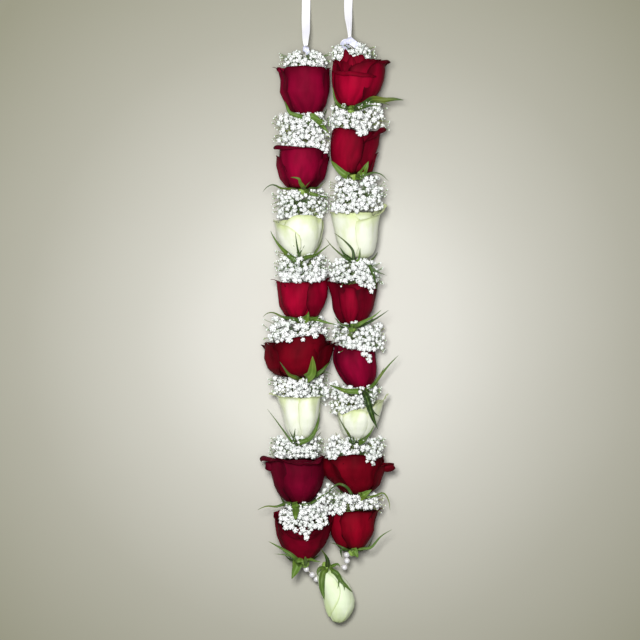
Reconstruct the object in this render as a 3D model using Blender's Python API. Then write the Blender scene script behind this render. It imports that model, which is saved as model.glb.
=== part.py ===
"""Rose garland, laid flat on its back: two strands of rose heads with baby's breath between
them, strung on one thread, a bud hanging between the strands' ends on pearls, and a satin
ribbon loop for the neck.

The strands lie along Y, with the neck ribbon at +Y. X runs from the left strand to the right
one, and Z is up from the surface that the garland lies on. The layout tables below are in
millimetres on a drawing sheet whose x runs right and whose y runs down the garland, and
at() turns a sheet position into metres in the garland's own frame.
"""

import math

import bmesh
import bpy
from mathutils import Vector

# ---------------------------------------------------------------- driving dimensions, in mm
SHEET_X0 = 330.661  # the sheet's x at the middle of the garland, the origin of its frame
SHEET_Y0 = 333.504  # and its y half way from the bud's tip to the strands' upper ends
MM = 0.001
GAP = 0.35  # between pieces that touch
THREAD_R = 0.4  # waxed cotton thread, 0.8 mm
BORE_R = 1.1  # the needle's hole through each flower
HIP_LENGTH = 6.6
HIP_R_TOP, HIP_R_MID, HIP_R_END = 4.7, 5.0, 3.0
CLUSTER_BELOW = 4.4  # a cluster starts this far under the flower above it
CLUSTER_FLAT = 0.86  # a cluster's height over its width
MOST_Z = 25.0  # the axis of a wide flower lies no higher: its own weight flattens it
RIBBON_W, RIBBON_T = 9.0, 0.5
PEARL_R = 3.0
BLOOM_SIDES = 12
HIP_SIDES = 10
BASE_R = 4.3  # of a flower head where it meets its hip
CLUSTER_SIDES = 12

# The strands' flowers, from the neck down: base and top on the sheet, greatest width, colour.
ROSES = {
    "left": [
        ((306, 117), (306, 67), 49.5, "red"),
        ((303, 188), (304, 144), 49.0, "red"),
        ((300, 258), (299, 213.5), 46.0, "white"),
        ((302, 319.5), (303, 279), 50.0, "red"),
        ((301, 378), (299, 337), 58.0, "red"),
        ((298, 441), (296, 395), 44.5, "white"),
        ((297, 504), (298, 457), 53.0, "red"),
        ((304, 559), (303, 521), 54.0, "red"),
    ],
    "right": [
        ((352, 107), (358, 58), 50.0, "red"),
        ((353, 174), (356, 129), 47.5, "red"),
        ((354, 260), (356.5, 210.5), 48.0, "white"),
        ((352, 325), (354, 282), 47.5, "red"),
        ((358, 389), (353, 346), 45.5, "red"),
        ((356, 441), (359.3, 404.5), 45.0, "white"),
        ((357, 495), (355, 455), 52.0, "red"),
        ((353, 549), (351, 509), 47.5, "red"),
    ],
}
# The clusters above each flower: centre x, half width.
CLUSTERS = {
    "left": [(306, 23.5), (303.5, 26), (300, 25), (302, 24.5), (297, 28), (299, 25.5), (298, 25), (303, 23)],
    "right": [(352, 21), (357, 29), (357.5, 27), (353, 27), (354, 27), (354, 25), (355, 29), (353, 25.5)],
}
KNOT = {"left": ((305.8, 49.0), 27.0), "right": ((349.8, 41.0), 26.0)}  # sheet place, height
KNOT_END = 3.7  # from a knot's centre to the cluster and the thread under it
# The line that parts the two strands: y and x on the sheet.
PARTING = [(40, 331), (95, 331.5), (150, 330), (200, 328.5), (235, 327.2), (300, 328.0),
           (345, 332.2), (375, 329), (410, 328), (462, 325), (500, 326.5), (535, 331), (560, 328)]

BUD_BASE, BUD_TIP, BUD_W, BUD_Z = (330.0, 569.5), (339.0, 622.5), 33.0, 16.2
PEARLS = {
    "left": [(306.9, 570.2, 22.5), (312.0, 575.4, 18.5), (315.6, 580.0, 13.5)],
    "right": [(346.2, 556.2, 25.0), (347.0, 563.0, 22.6), (344.2, 568.2, 19.0)],
}

# Sepals of each calyx, as (root to tip places on the sheet with a height, width, twist).
# A height of None lies just over the flowers there. A height of h stands h mm over the surface.
N = None
SEPALS = {
    "left_1": [
        ([(298, 117.5, 33), (290, 113.5, 36), (285.6, 105, 35)], 4.6, 35),
        ([(313, 120, 37), (320, 124, 44), (327, 133, 47)], 4.6, -30),
        ([(300, 120, 15), (290, 119, 7), (284, 114, 3)], 3.6, 0),
        ([(314, 119, 14), (322, 116, 7), (327, 108, 4)], 3.6, 0),
    ],
    "left_2": [
        ([(302, 186, N), (300.6, 179, N)], 6.0, 0),
        ([(292, 190, 28), (281, 188.5, 30), (272, 185, 31), (266, 190.5, 28)], 2.6, 0),
        ([(313, 188.5, 27), (321, 184.5, 25), (326, 180, 24)], 2.6, 0),
        ([(309, 190, 35), (316, 194, 42), (328.0, 197.5, 47)], 4.0, 60),
        ([(303, 189.5, 14), (303, 187, 6), (303, 181, 2.0)], 4.0, 0),
    ],
    "left_3": [
        ([(299.6, 255, N), (298.4, 245, N), (295.8, 233.5, N)], 2.8, 0),
        ([(290, 259.5, 25), (281.5, 250.5, 26), (275.2, 240.5, 27), (271, 231.5, 28)], 4.2, 25),
        ([(309, 258.5, 29), (318.5, 254.6, 33), (325.5, 248.0, 35)], 4.4, 45),
        ([(300, 259.5, 12), (299, 257, 6), (298, 250, 1.5)], 4.0, 0),
    ],
    "left_4": [
        ([(306, 317, N), (308.4, 312.5, N)], 8.0, 0),
        ([(293, 320.5, 26), (282, 317, 27), (270.5, 311.2, 28), (263, 316.5, 26)], 3.2, 20),
        ([(312, 320.5, 30), (321, 322, 36), (335, 325.0, 46.5)], 4.6, 45),
        ([(302, 321, 13), (302, 319, 6), (302, 313, 1.6)], 4.0, 0),
    ],
    "left_5": [
        ([(308.5, 377.5, 41), (311, 370, 50), (312.4, 357, 54.5)], 7.4, 0),
        ([(295, 377, N), (288.5, 373.5, N), (281.5, 362.5, N)], 3.6, 0),
        ([(314.5, 379.0, 29), (323.5, 371.5, 31), (327.0, 363.5, 32)], 4.4, 30),
        ([(313, 381, 22), (322, 378.5, 19), (327, 380.5, 16)], 2.8, 10),
        ([(296, 380, 13), (289, 378, 6), (284, 373, 2.5)], 3.6, 0),
    ],
    "left_6": [
        ([(295.6, 439, N), (294.4, 429, N)], 6.0, 0),
        ([(306, 441.5, 33), (313, 436.5, 35), (318.6, 424, 36), (320.8, 413.5, 36)], 4.0, 30),
        ([(290, 441, 24), (281, 431, 25), (273.2, 419.6, 26), (268, 409, 27)], 2.8, 20),
        ([(305, 442.5, 16), (314, 440, 9), (321, 433, 5)], 3.6, 0),
        ([(296, 442.5, 12), (294, 440, 6), (292, 433, 1.6)], 3.6, 0),
    ],
    "left_7": [
        ([(297.4, 507.4, 36.5), (296.8, 510.0, 46.5), (296.2, 519.0, 51.0)], 5.6, 0),
        ([(288, 506, 27), (276, 507.5, 28), (266, 507, 27), (258.5, 512, 25)], 3.2, 15),
        ([(307, 505.5, 29), (314, 503.5, 31), (321, 499, 32)], 3.6, 30),
        ([(305, 506, 15), (311, 504, 8), (316, 498, 5)], 3.6, 0),
        ([(290, 506, 15), (284, 503.5, 8), (280, 497, 4)], 3.6, 0),
    ],
    "left_8": [
        ([(297, 561.5, 31), (294.4, 568.5, 33), (291.6, 583, 30)], 6.8, 20),
        ([(294, 558.5, 26), (280, 553, 27), (269.5, 542.5, 28)], 4.2, 25),
        ([(311.5, 561.0, 30), (318, 564.5, 33.5), (323.0, 567.0, 35.5)], 4.6, 50),
        ([(308, 561.5, 18), (313, 560.0, 11), (319, 556.5, 7)], 3.2, 0),
        ([(297, 561.5, 16), (290, 560.5, 8), (285, 557, 3)], 3.2, 0),
    ],
    "right_1": [
        ([(361, 107.5, 30), (373, 101.5, 34), (388, 101, 36), (403, 100.5, 35)], 6.4, 65),
        ([(343.5, 108, 29), (337, 102, 32), (334.6, 89, 33)], 3.8, 25),
        ([(353.5, 107.6, 33.4), (353.5, 108.6, 37)], 4.4, 0),
        ([(343, 109.0, 14), (337, 107.5, 7), (334.5, 101, 3)], 3.4, 0),
        ([(362, 109, 15), (369, 107, 8), (373, 101, 3)], 3.6, 0),
    ],
    "right_2": [
        ([(344.5, 175.5, 29), (338, 170.5, 31), (332.2, 160.5, 32)], 6.2, 40),
        ([(361, 175, 31), (366.0, 170.5, 39), (368.4, 162.4, 43.8)], 6.6, 20),
        ([(362, 177.0, 25), (374, 173, 25), (387, 179.5, 24), (391, 182, 23)], 2.4, 0),
        ([(347, 177, 14), (342, 175, 7), (339, 168, 3)], 3.6, 0),
        ([(359, 177, 14), (364, 174, 7), (367, 168, 3)], 3.6, 0),
    ],
    "right_3": [
        ([(352.6, 258, N), (350.8, 248, N), (342, 239.5, N), (335.0, 233.8, N)], 3.8, 0),
        ([(345.8, 260.5, 30), (340.6, 255, 33), (333.0, 246.2, 35), (330.4, 240.5, 35)], 4.2, 40),
        ([(358, 257.5, N), (360, 249.5, N)], 4.6, 0),
        ([(363, 262, 17), (372, 259, 9), (378, 252, 5)], 3.6, 0),
        ([(350, 262, 13), (346, 260, 6), (343, 253, 2)], 3.6, 0),
    ],
    "right_4": [
        ([(362, 325.0, 28), (373, 318.5, 31), (387.6, 310.4, 32)], 3.8, 35),
        ([(343.5, 326.4, 28), (337.4, 323.0, 30), (333.6, 317.6, 31)], 2.8, 20),
        ([(352.6, 326.2, 33), (351.6, 327.4, 37)], 5.0, 0),
        ([(361, 327, 15), (368, 324, 8), (373, 318, 4)], 3.6, 0),
        ([(345, 327.5, 14), (340, 325, 7), (336.5, 319, 3)], 3.6, 0),
    ],
    "right_5": [
        ([(367, 391.0, 27), (378.0, 380, 30), (387, 366.5, 32), (398, 355.5, 31)], 3.6, 30),
        ([(349, 390.5, 31), (341.0, 388.5, 37), (332.0, 385.8, 45)], 5.6, 55),
        ([(361.2, 392.2, 37), (365.6, 396.0, 48.5), (371.6, 412, 50.5), (377.2, 428.5, 49)], 6.6, 0),
        ([(366, 391.4, 17), (374, 389, 10), (379, 383, 5)], 3.6, 0),
        ([(352, 391.8, 13), (347, 390, 6), (343, 384, 2)], 3.6, 0),
    ],
    "right_6": [
        ([(365, 441.5, 30), (371.4, 434.5, 35), (374.6, 424.5, 37)], 5.6, 30),
        ([(350.0, 440.5, 33.5), (345.4, 430, 40.0), (338.5, 416.5, 40.0)], 2.2, 0),
        ([(347, 443, 18), (340.5, 440.5, 10), (335.5, 433, 6)], 3.6, 0),
        ([(359, 443.2, 13), (362, 441, 6), (364, 434, 2)], 3.6, 0),
    ],
    "right_7": [
        ([(362.6, 494.2, N), (367.5, 491.0, N)], 8.4, 0),
        ([(348, 496, 28), (340, 489.0, 30), (331.0, 480.0, 31)], 4.2, 30),
        ([(366.5, 497.6, 25), (376, 496, 26), (385, 492.6, 27), (389.6, 508.0, 26)], 2.6, 10),
        ([(349, 497.5, 15), (343, 495.5, 8), (339, 488, 4)], 3.6, 0),
        ([(360, 498, 13), (365, 496, 6), (369, 489.5, 2.5)], 3.6, 0),
    ],
    "right_8": [
        ([(355.6, 551.4, 31), (357.4, 556.5, 35)], 7.0, 0),
        ([(362, 550.5, 25), (372, 546.2, 26), (381, 535, 27), (392.4, 529.6, 27)], 2.6, 15),
        ([(345.2, 550.5, 27), (340.6, 551.0, 29), (341.6, 558, 28)], 3.4, 25),
        ([(361, 551, 16), (368, 548.5, 8), (372, 542, 4)], 3.6, 0),
        ([(346, 551, 14), (340, 548.5, 7), (336, 542, 3.5)], 3.6, 0),
    ],
    "bud": [
        ([(325.0, 572, 22), (321.8, 582, 31.0), (324.6, 602, 33.0)], 6.2, 15),
        ([(337.6, 571.0, 22), (344.6, 580.0, 29.0), (353.4, 594, 25)], 6.0, 25),
        ([(325.4, 565.0, 23.5), (325.4, 559.0, 33.0), (321.6, 549.5, 40)], 5.4, 35),
        ([(323.6, 569.6, 20), (318.6, 570.4, 23), (315.8, 577.0, 22.5)], 4.0, 40),
        ([(335.6, 567.6, 14.5), (340.4, 565.6, 16)], 3.2, 0),
    ],
}


# ---------------------------------------------------------------- geometry helpers
def at(x, y, z=0.0):
    return Vector(((x - SHEET_X0) * MM, (SHEET_Y0 - y) * MM, z * MM))


def parting(y):
    for (ya, xa), (yb, xb) in zip(PARTING, PARTING[1:]):
        if y <= yb or (yb, xb) == PARTING[-1]:
            return xa + (xb - xa) * min(1.0, max(0.0, (y - ya) / (yb - ya)))
    return PARTING[-1][1]


def keep_side(p, side):
    """Moves a point that crosses the line between the strands back to it, and lifts one that is under the surface."""
    y = SHEET_Y0 - p.y / MM
    line = (parting(y) - SHEET_X0) * MM
    if side == "left":
        p.x = min(p.x, line - 0.2 * MM)
    elif side == "right":
        p.x = max(p.x, line + 0.2 * MM)
    p.z = max(p.z, 0.0)
    return p


def axes_of(a):
    """u towards +Z and v towards +X for an axis near +Y, with u x v = a."""
    u = Vector((0, 0, 1))
    u = (u - u.dot(a) * a).normalized()
    return u, a.cross(u)


def ring(centre, a, radius, sides, squash=1.0, turn=0.0):
    u, v = axes_of(a)
    return [
        centre + radius * (squash * math.cos(k) * u + math.sin(k) * v)
        for k in (math.radians(turn) + 2 * math.pi * i / sides for i in range(sides))
    ]


def table(stops, t):
    for (ta, ra), (tb, rb) in zip(stops, stops[1:]):
        if t <= tb:
            return ra + (rb - ra) * max(0.0, (t - ta) / (tb - ta))
    return stops[-1][1]


def make(name, points, faces, colour, roughness, metallic=0.0):
    mesh = bpy.data.meshes.new(name)
    mesh.from_pydata([tuple(p) for p in points], [], faces)
    bm = bmesh.new()
    bm.from_mesh(mesh)
    bmesh.ops.recalc_face_normals(bm, faces=bm.faces)
    if bm.calc_volume(signed=True) < 0:
        bmesh.ops.reverse_faces(bm, faces=bm.faces)
    bm.to_mesh(mesh)
    bm.free()
    mesh.shade_smooth()
    mesh.set_sharp_from_angle(angle=math.radians(50))
    obj = bpy.data.objects.new(name, mesh)
    bpy.context.scene.collection.objects.link(obj)
    finish = bpy.data.materials.get(colour[0]) or bpy.data.materials.new(colour[0])
    finish.use_nodes = True
    shader = finish.node_tree.nodes["Principled BSDF"]
    shader.inputs["Base Color"].default_value = (*colour[1], 1)
    shader.inputs["Roughness"].default_value = roughness
    shader.inputs["Metallic"].default_value = metallic
    mesh.materials.append(finish)
    return obj


def looped(rings):
    """Faces of a closed loft whose last ring joins its first, as round a bored flower."""
    n, faces = len(rings[0]), []
    for i in range(len(rings)):
        a, b = i * n, (i + 1) % len(rings) * n
        faces += [(a + k, a + (k + 1) % n, b + (k + 1) % n, b + k) for k in range(n)]
    return [p for r in rings for p in r], faces


def capped(rings):
    n = len(rings[0])
    points, faces = [p for r in rings for p in r], []
    for i in range(len(rings) - 1):
        a, b = i * n, (i + 1) * n
        faces += [(a + k, a + (k + 1) % n, b + (k + 1) % n, b + k) for k in range(n)]
    faces.append(tuple(range(n)))
    faces.append(tuple(range((len(rings) - 1) * n, len(rings) * n)))
    return points, faces


RED = ("rose_petal_red", (0.32, 0.005, 0.025))
WHITE = ("rose_petal_white", (0.86, 0.88, 0.72))
GREEN = ("sepal_green", (0.13, 0.28, 0.05))
BREATH = ("babys_breath_white", (0.86, 0.88, 0.86))
THREAD = ("cotton_thread", (0.80, 0.78, 0.70))
SATIN = ("satin_white", (0.90, 0.90, 0.90))
PEARL = ("pearl", (0.82, 0.83, 0.85))

# The outline of a flower head: share of its length from the base, share of its half width.
HEAD = [(0.0, 0.0), (0.055, 0.40), (0.17, 0.70), (0.34, 0.90), (0.55, 1.0), (0.78, 0.985), (0.93, 0.93), (1.0, 0.86)]
BUD = [(0.0, 0.0), (0.07, 0.42), (0.22, 0.78), (0.42, 1.0), (0.60, 0.97), (0.78, 0.78), (0.92, 0.48), (1.0, 0.20)]


class Flower:
    """A flower head: its frame, its outline, and where its thread runs."""

    def __init__(self, name, side, base, top, width, colour, z=None, outline=HEAD, taper=0.0):
        self.name, self.side, self.colour, self.half = name, side, colour, width / 2
        # A head rests on its widest facet, pressed flat by half a millimetre.
        self.z = z if z is not None else min(MOST_Z, self.half * math.cos(math.pi / BLOOM_SIDES) - 0.5)
        self.base, self.top = at(*base, self.z), at(*top, self.z)
        self.length = (self.top - self.base).length / MM
        self.a = (self.top - self.base).normalized()
        self.outline = outline

    def radius(self, t):
        return max(table(self.outline, t) * self.half, BASE_R)

    def on_axis(self, s):
        """The point s mm up from the base."""
        return self.base + self.a * (s * MM)

    def surface_z(self, p, clear):
        """The height over a place where a thing clear mm off this head would lie, or None."""
        d = p - self.base
        s, side = d.dot(self.a) / MM, (d - d.dot(self.a) * self.a)
        off = math.hypot(side.x, side.y) / MM
        if not -clear <= s <= self.length + clear:
            return None
        reach = self.radius(min(1, max(0, s / self.length))) + clear
        return self.z + math.sqrt(reach**2 - off**2) if off < reach else None

    def pushed_out(self, points):
        """A sepal's cross section, moved off this flower's side where it would cut into it."""
        most, way = 0.0, None
        for p in points:
            d = p - self.base
            s = d.dot(self.a) / MM
            if -1.0 < s < self.length + 1:
                out = d - d.dot(self.a) * self.a
                need = self.radius(min(1, max(0, (s + 1.5) / self.length))) + 1.3 - out.length / MM
                if need > most:
                    most, way = need, out.normalized()
        return points if way is None else [p + way * (most * MM) for p in points]

    def build(self):
        rings = []
        for t, share in self.outline:
            r = max(share * self.half, BASE_R)
            rings.append(ring(self.on_axis(t * self.length), self.a, r * MM, BLOOM_SIDES, turn=15))
        if self.outline is HEAD:  # the cup at the top, which the cluster above fills
            for t, share in ((0.985, 0.70), (0.90, 0.42)):
                rings.append(ring(self.on_axis(t * self.length), self.a, share * self.half * MM, BLOOM_SIDES, turn=15))
            rings.append(ring(self.on_axis(0.88 * self.length), self.a, BORE_R * MM, BLOOM_SIDES, turn=15))
            rings.append(ring(self.on_axis(0), self.a, BORE_R * MM, BLOOM_SIDES, turn=15))
            points, faces = looped(rings)
        else:
            points, faces = capped(rings)
        points = [keep_side(p, self.side) for p in points]
        make(self.name + "_bloom", points, faces, RED if self.colour == "red" else WHITE, 0.62)

    def build_calyx(self, sepals, over, bored=True):
        n, a = HIP_SIDES, self.a
        middle = [math.atan2(*reversed(self.angle(s[0][0])))
                  for s in sepals]
        # The hip is turned so that its five sepal faces look towards the sepals as nearly as they can.
        best = None
        for turn in range(0, 72, 3):
            free, cost, pick = list(range(0, n, 2)), 0.0, []
            for m in middle:
                gaps = [(abs((m - math.radians(turn + 36 * k + 18) + math.pi) % (2 * math.pi) - math.pi), k) for k in free]
                gap, k = min(gaps)
                free.remove(k)
                cost += gap**2
                pick.append(k)
            if best is None or cost < best[0]:
                best = (cost, turn, pick)
        _, turn, pick = best
        levels = [(-GAP, HIP_R_TOP), (-2.5, HIP_R_MID), (-HIP_LENGTH, HIP_R_END)]
        rings = [ring(self.on_axis(s), a, r * MM, n, turn=turn) for s, r in levels]
        if bored:
            rings += [ring(self.on_axis(s), a, BORE_R * MM, n, turn=turn) for s in (-HIP_LENGTH, -GAP)]
            points, faces = looped(rings)
        else:
            points, faces = capped(rings)
        faces = [f for f in faces if not any(set(f) == {k, k + 1, n + k, n + k + 1} if k < n - 1 else set(f) == {k, 0, n + k, n} for k in pick)]
        for k, (path, width, twist) in zip(pick, sepals):
            k1 = (k + 1) % n
            last = [k, k1, n + k1, n + k]
            route = [self.root(k, turn)]
            for x, y, z in path:
                p = at(x, y, 0)
                p.z = (z if z is not None else over(p, 2.2)) * MM
                route.append(p)
            around = a.cross((route[1] - self.on_axis(-1.4)).normalized()).normalized()
            count = len(route) - 1
            for i in range(1, count + 1):
                t = (route[min(i + 1, count)] - route[i - 1]).normalized()
                w = (around - around.dot(t) * t).normalized()
                up = t.cross(w)
                roll = math.radians(twist) * min(1.0, i / max(1, count - 1))
                w, up = w * math.cos(roll) + up * math.sin(roll), up * math.cos(roll) - w * math.sin(roll)
                share = 0.16 if i == count else (1.0 if i <= (count + 1) / 2 else 0.6)
                hw, ht = 0.5 * width * share * MM, (0.30 if i == count else 0.45) * MM
                start = len(points)
                section = [route[i] + w * (hw * sw) + up * (ht * su) for su, sw in ((1, -1), (1, 1), (-1, 1), (-1, -1))]
                points += self.pushed_out(section)
                new = [start, start + 1, start + 2, start + 3]
                faces += [(last[j], last[(j + 1) % 4], new[(j + 1) % 4], new[j]) for j in range(4)]
                last = new
            faces.append(tuple(last))
        for p in points:
            p.z = max(p.z, 0.3 * MM)
        return make(self.name + "_calyx", points, faces, GREEN, 0.6)

    def angle(self, place):
        """(cosine, sine) of a sheet place round the axis, from +Z towards +X."""
        u, v = axes_of(self.a)
        z = place[2] if place[2] is not None else self.z + 14
        d = at(place[0], place[1], z) - self.base
        return d.dot(u), d.dot(v)

    def root(self, k, turn):
        u, v = axes_of(self.a)
        m = math.radians(turn + 36 * k + 18)
        return self.on_axis(-1.4) + (HIP_R_MID * MM) * (math.cos(m) * u + math.sin(m) * v)


def cluster(name, side, below, above, cx, half):
    """Baby's breath as one soft solid, from the cup of the flower below to the calyx of the flower above."""
    a0 = below.a
    c0 = below.on_axis(below.length + GAP)
    if above is not None:
        a1, c1 = above.a, above.on_axis(-CLUSTER_BELOW)
        stops = [(0.0, 0.80), (0.22, 0.98), (0.55, 1.0), (0.82, 0.86), (1.0, 0.5)]
    else:
        a1 = below.a
        (kx, ky), kz = KNOT[side]
        c1 = at(kx, ky + KNOT_END, kz)
        stops = [(0.0, 0.86), (0.35, 1.0), (0.72, 0.80), (1.0, 0.36)]
    outer = []
    for t, share in stops:
        a = (a0.lerp(a1, t)).normalized()
        c = c0.lerp(c1, t)
        shift = Vector(((at(cx, 0).x - c.x) * (math.sin(math.pi * min(1, t * 1.1 + 0.05)) if above else (1 - t)), 0, 0))
        outer.append(ring(c + shift - shift.dot(a) * a, a, half * share * MM, CLUSTER_SIDES, CLUSTER_FLAT, turn=15))
    inner = []
    if above is not None:
        inner.append(ring(above.on_axis(-CLUSTER_BELOW), a1, (HIP_R_MID + 0.5) * MM, CLUSTER_SIDES, turn=15))
        inner.append(ring(above.on_axis(-HIP_LENGTH - 0.6), a1, (HIP_R_END + 1.2) * MM, CLUSTER_SIDES, turn=15))
        inner.append(ring(above.on_axis(-HIP_LENGTH - 1.6), a1, 1.8 * MM, CLUSTER_SIDES, turn=15))
    else:
        inner.append(ring(c1, a1, 1.8 * MM, CLUSTER_SIDES, turn=15))
    inner.append(ring(c0, a0, 1.8 * MM, CLUSTER_SIDES, turn=15))
    points, faces = looped(outer + inner)
    points = [keep_side(p, side) for p in points]
    make(name, points, faces, BREATH, 0.7)


def thread_route(flowers, side):
    """The thread down one strand: straight through each head and its hip, straight again between them."""
    (kx, ky), kz = KNOT[side]
    route = [at(kx, ky + KNOT_END, kz)]
    for f in flowers:
        route += [f.on_axis(f.length + 0.4), f.on_axis(-HIP_LENGTH - (2.0 if f is flowers[-1] else 0.8))]
    return route


def sweep(route, radius, sides):
    rings, n = [], len(route)
    for i, p in enumerate(route):
        t = (route[min(i + 1, n - 1)] - route[max(i - 1, 0)]).normalized()
        u = Vector((0, 0, 1))
        if abs(t.z) > 0.95:
            u = Vector((1, 0, 0))
        u = (u - u.dot(t) * t).normalized()
        v = t.cross(u)
        rings.append([p + radius * MM * (math.cos(k) * u + math.sin(k) * v) for k in (2 * math.pi * j / sides for j in range(sides))])
    return capped(rings)


def ribbon_route():
    """The neck ribbon's middle line, as (sheet x, sheet y, height, half width, lean from flat in degrees)."""
    (lx, ly), lz = KNOT["left"]
    (rx, ry), rz = KNOT["right"]
    rows = [
        (lx, ly - 3.6, lz, 2.1, 0), (lx - 0.2, ly - 9, 25.5, 3.2, 4), (305.9, 30, 19.0, 4.2, 0),
        (305.8, 18, 11.5, 4.5, 0), (306.0, 6, 5.2, 4.5, 0), (306.0, -6, 1.7, 4.5, 4), (305.2, -17, 2.2, 4.5, 28),
        (303.4, -28, 3.9, 4.5, 62), (301.3, -39, 4.75, 4.5, 86),
    ]
    for k in range(13):  # the loop's far side, standing on its edge
        angle = math.radians(200 - 220 * k / 12)
        rows.append((327.5 + 27.0 * math.cos(angle), -60 - 27.0 * math.sin(angle), 4.8, 4.5, 90))
    rows += [
        (353.4, -39, 4.75, 4.5, 94), (351.6, -28, 3.9, 4.5, 118), (349.8, -17, 2.2, 4.5, 152),
        (348.8, -6, 1.7, 4.5, 176), (348.4, 6, 5.4, 4.4, 180), (348.6, 16, 12.0, 4.0, 180), (349.2, 25, 19.0, 2.9, 184),
        (rx - 0.2, ry - 8, 24.0, 1.9, 180), (rx, ry - 3.8, rz, 1.6, 180),
    ]
    return rows


def ribbon_solid():
    rows = ribbon_route()
    middle = [at(x, y, z) for x, y, z, _, _ in rows]
    rings, n = [], len(rows)
    for i, (_, _, _, half, lean) in enumerate(rows):
        t = (middle[min(i + 1, n - 1)] - middle[max(i - 1, 0)]).normalized()
        flat = t.cross(Vector((0, 0, 1))).normalized()  # level, across the ribbon
        up = flat.cross(t).normalized()
        k = math.radians(lean)
        w, h = flat * math.cos(k) + up * math.sin(k), up * math.cos(k) - flat * math.sin(k)
        rings.append([middle[i] + w * (half * sw * MM) + h * (0.5 * RIBBON_T * sh * MM) for sw, sh in ((-1, -1), (1, -1), (1, 1), (-1, 1))])
    points, faces = capped(rings)
    for p in points:
        p.z = max(p.z, 0.05 * MM)
    make("neck_ribbon", points, faces, SATIN, 0.35)


def knot(side):
    (x, y), z = KNOT[side]
    size = (4.6, 3.2, 4.0) if side == "left" else (5.6, 3.4, 4.4)
    rings = []
    for k in range(1, 6):
        f = math.pi * k / 6
        c = at(x, y, z) + Vector((0, math.cos(f) * size[1] * MM, 0))
        rings.append([c + Vector((math.sin(q) * size[0] * math.sin(f) * MM, 0, math.cos(q) * size[2] * math.sin(f) * MM)) for q in (2 * math.pi * j / 10 for j in range(10))])
    points, faces = capped(rings)
    make(f"ribbon_knot_{side}", points, faces, SATIN, 0.4)


def pearl(name, centre, along):
    along = along.normalized()
    rings = []
    hole = 1.5
    for k in range(6):
        low = math.asin(hole / PEARL_R)
        f = low + (math.pi - 2 * low) * k / 5
        rings.append(ring(centre + along * (PEARL_R * math.cos(f) * MM), along, PEARL_R * math.sin(f) * MM, 8))
    points, faces = looped(rings)
    make(name, points, faces, PEARL, 0.25)


# ---------------------------------------------------------------- the garland
def main():
    for obj in list(bpy.data.objects):
        bpy.data.objects.remove(obj)
    flowers = {
        side: [Flower(f"rose_{side}_{i + 1}", side, *row) for i, row in enumerate(rows)]
        for side, rows in ROSES.items()
    }
    bud = Flower("pendant_bud", None, BUD_BASE, BUD_TIP, BUD_W, "white", z=BUD_Z, outline=BUD)
    everything = flowers["left"] + flowers["right"] + [bud]

    def over(p, clear):
        heights = [h for f in everything for h in [f.surface_z(p, clear)] if h is not None]
        return max(heights, default=26.0)

    for side, row in flowers.items():
        for i, f in enumerate(row):
            f.build()
            f.build_calyx(SEPALS[f"{side}_{i + 1}"], over)
            cx, half = CLUSTERS[side][i]
            cluster(f"babys_breath_{side}_{i + 1}", side, f, row[i - 1] if i else None, cx, half)
        knot(side)

    bud.build()
    bud_calyx = bud.build_calyx(SEPALS["bud"], over, bored=False)

    # One thread: down the left strand, through the pearls and the bud's hip, and up the right strand.
    left, right = thread_route(flowers["left"], "left"), thread_route(flowers["right"], "right")
    hip = bud.on_axis(-4.2)
    across = axes_of(bud.a)[1]
    across = across if across.x > 0 else -across
    into = hip - across * (5.2 * MM), hip + across * (5.2 * MM)
    beads = {}
    for s, before, after in (("left", left[-1], into[0]), ("right", right[-1], into[1])):
        row = [before] + [at(*p) for p in PEARLS[s]] + [after]
        beads[s] = [
            (row[i], ((row[i + 1] - row[i]).normalized() + (row[i] - row[i - 1]).normalized()).normalized())
            for i in (1, 2, 3)
        ]
    reach = 1.0 * PEARL_R * MM
    ends = {s: [c + way * k for c, way in beads[s] for k in (-reach, reach)] for s in beads}
    route = left + ends["left"] + list(into) + ends["right"][::-1] + right[::-1]
    points, faces = sweep(route, THREAD_R, 5)
    make("stringing_thread", points, faces, THREAD, 0.8)
    # The needle's hole through the bud's hip.
    points, faces = sweep([hip - across * 0.009, hip + across * 0.009], 1.0, 8)
    needle = make("needle_hole", points, faces, THREAD, 0.8)
    needle.hide_render = True
    needle.display_type = "WIRE"
    cut = bud_calyx.modifiers.new("needle", "BOOLEAN")
    cut.object, cut.operation, cut.solver = needle, "DIFFERENCE", "EXACT"
    for s in beads:
        for j, (centre, way) in enumerate(beads[s]):
            pearl(f"pearl_{s}_{j + 1}", centre, way)
    ribbon_solid()


main()
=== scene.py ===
import math
import random

import bpy
import numpy as np
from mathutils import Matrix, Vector
from mathutils.bvhtree import BVHTree

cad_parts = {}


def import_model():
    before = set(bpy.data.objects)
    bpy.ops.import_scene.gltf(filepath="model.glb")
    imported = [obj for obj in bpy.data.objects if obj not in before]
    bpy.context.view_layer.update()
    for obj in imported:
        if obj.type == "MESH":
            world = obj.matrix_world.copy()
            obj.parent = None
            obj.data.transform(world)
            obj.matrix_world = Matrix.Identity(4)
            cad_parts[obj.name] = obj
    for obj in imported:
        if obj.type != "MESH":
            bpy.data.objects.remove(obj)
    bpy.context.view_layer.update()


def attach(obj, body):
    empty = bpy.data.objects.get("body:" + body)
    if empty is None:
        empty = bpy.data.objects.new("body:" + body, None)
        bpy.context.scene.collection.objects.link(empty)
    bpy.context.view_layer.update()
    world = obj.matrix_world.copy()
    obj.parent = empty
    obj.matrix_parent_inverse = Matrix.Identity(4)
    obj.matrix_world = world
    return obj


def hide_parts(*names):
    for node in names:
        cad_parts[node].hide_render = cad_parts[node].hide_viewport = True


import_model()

# ---------------------------------------------------------------- the layout sheet, in mm
# x runs right, y runs down the garland from the neck, z is the height over the floor.
SHEET_X0, SHEET_Y0 = 330.661, 333.504
MM = 0.001
N = None


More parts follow.
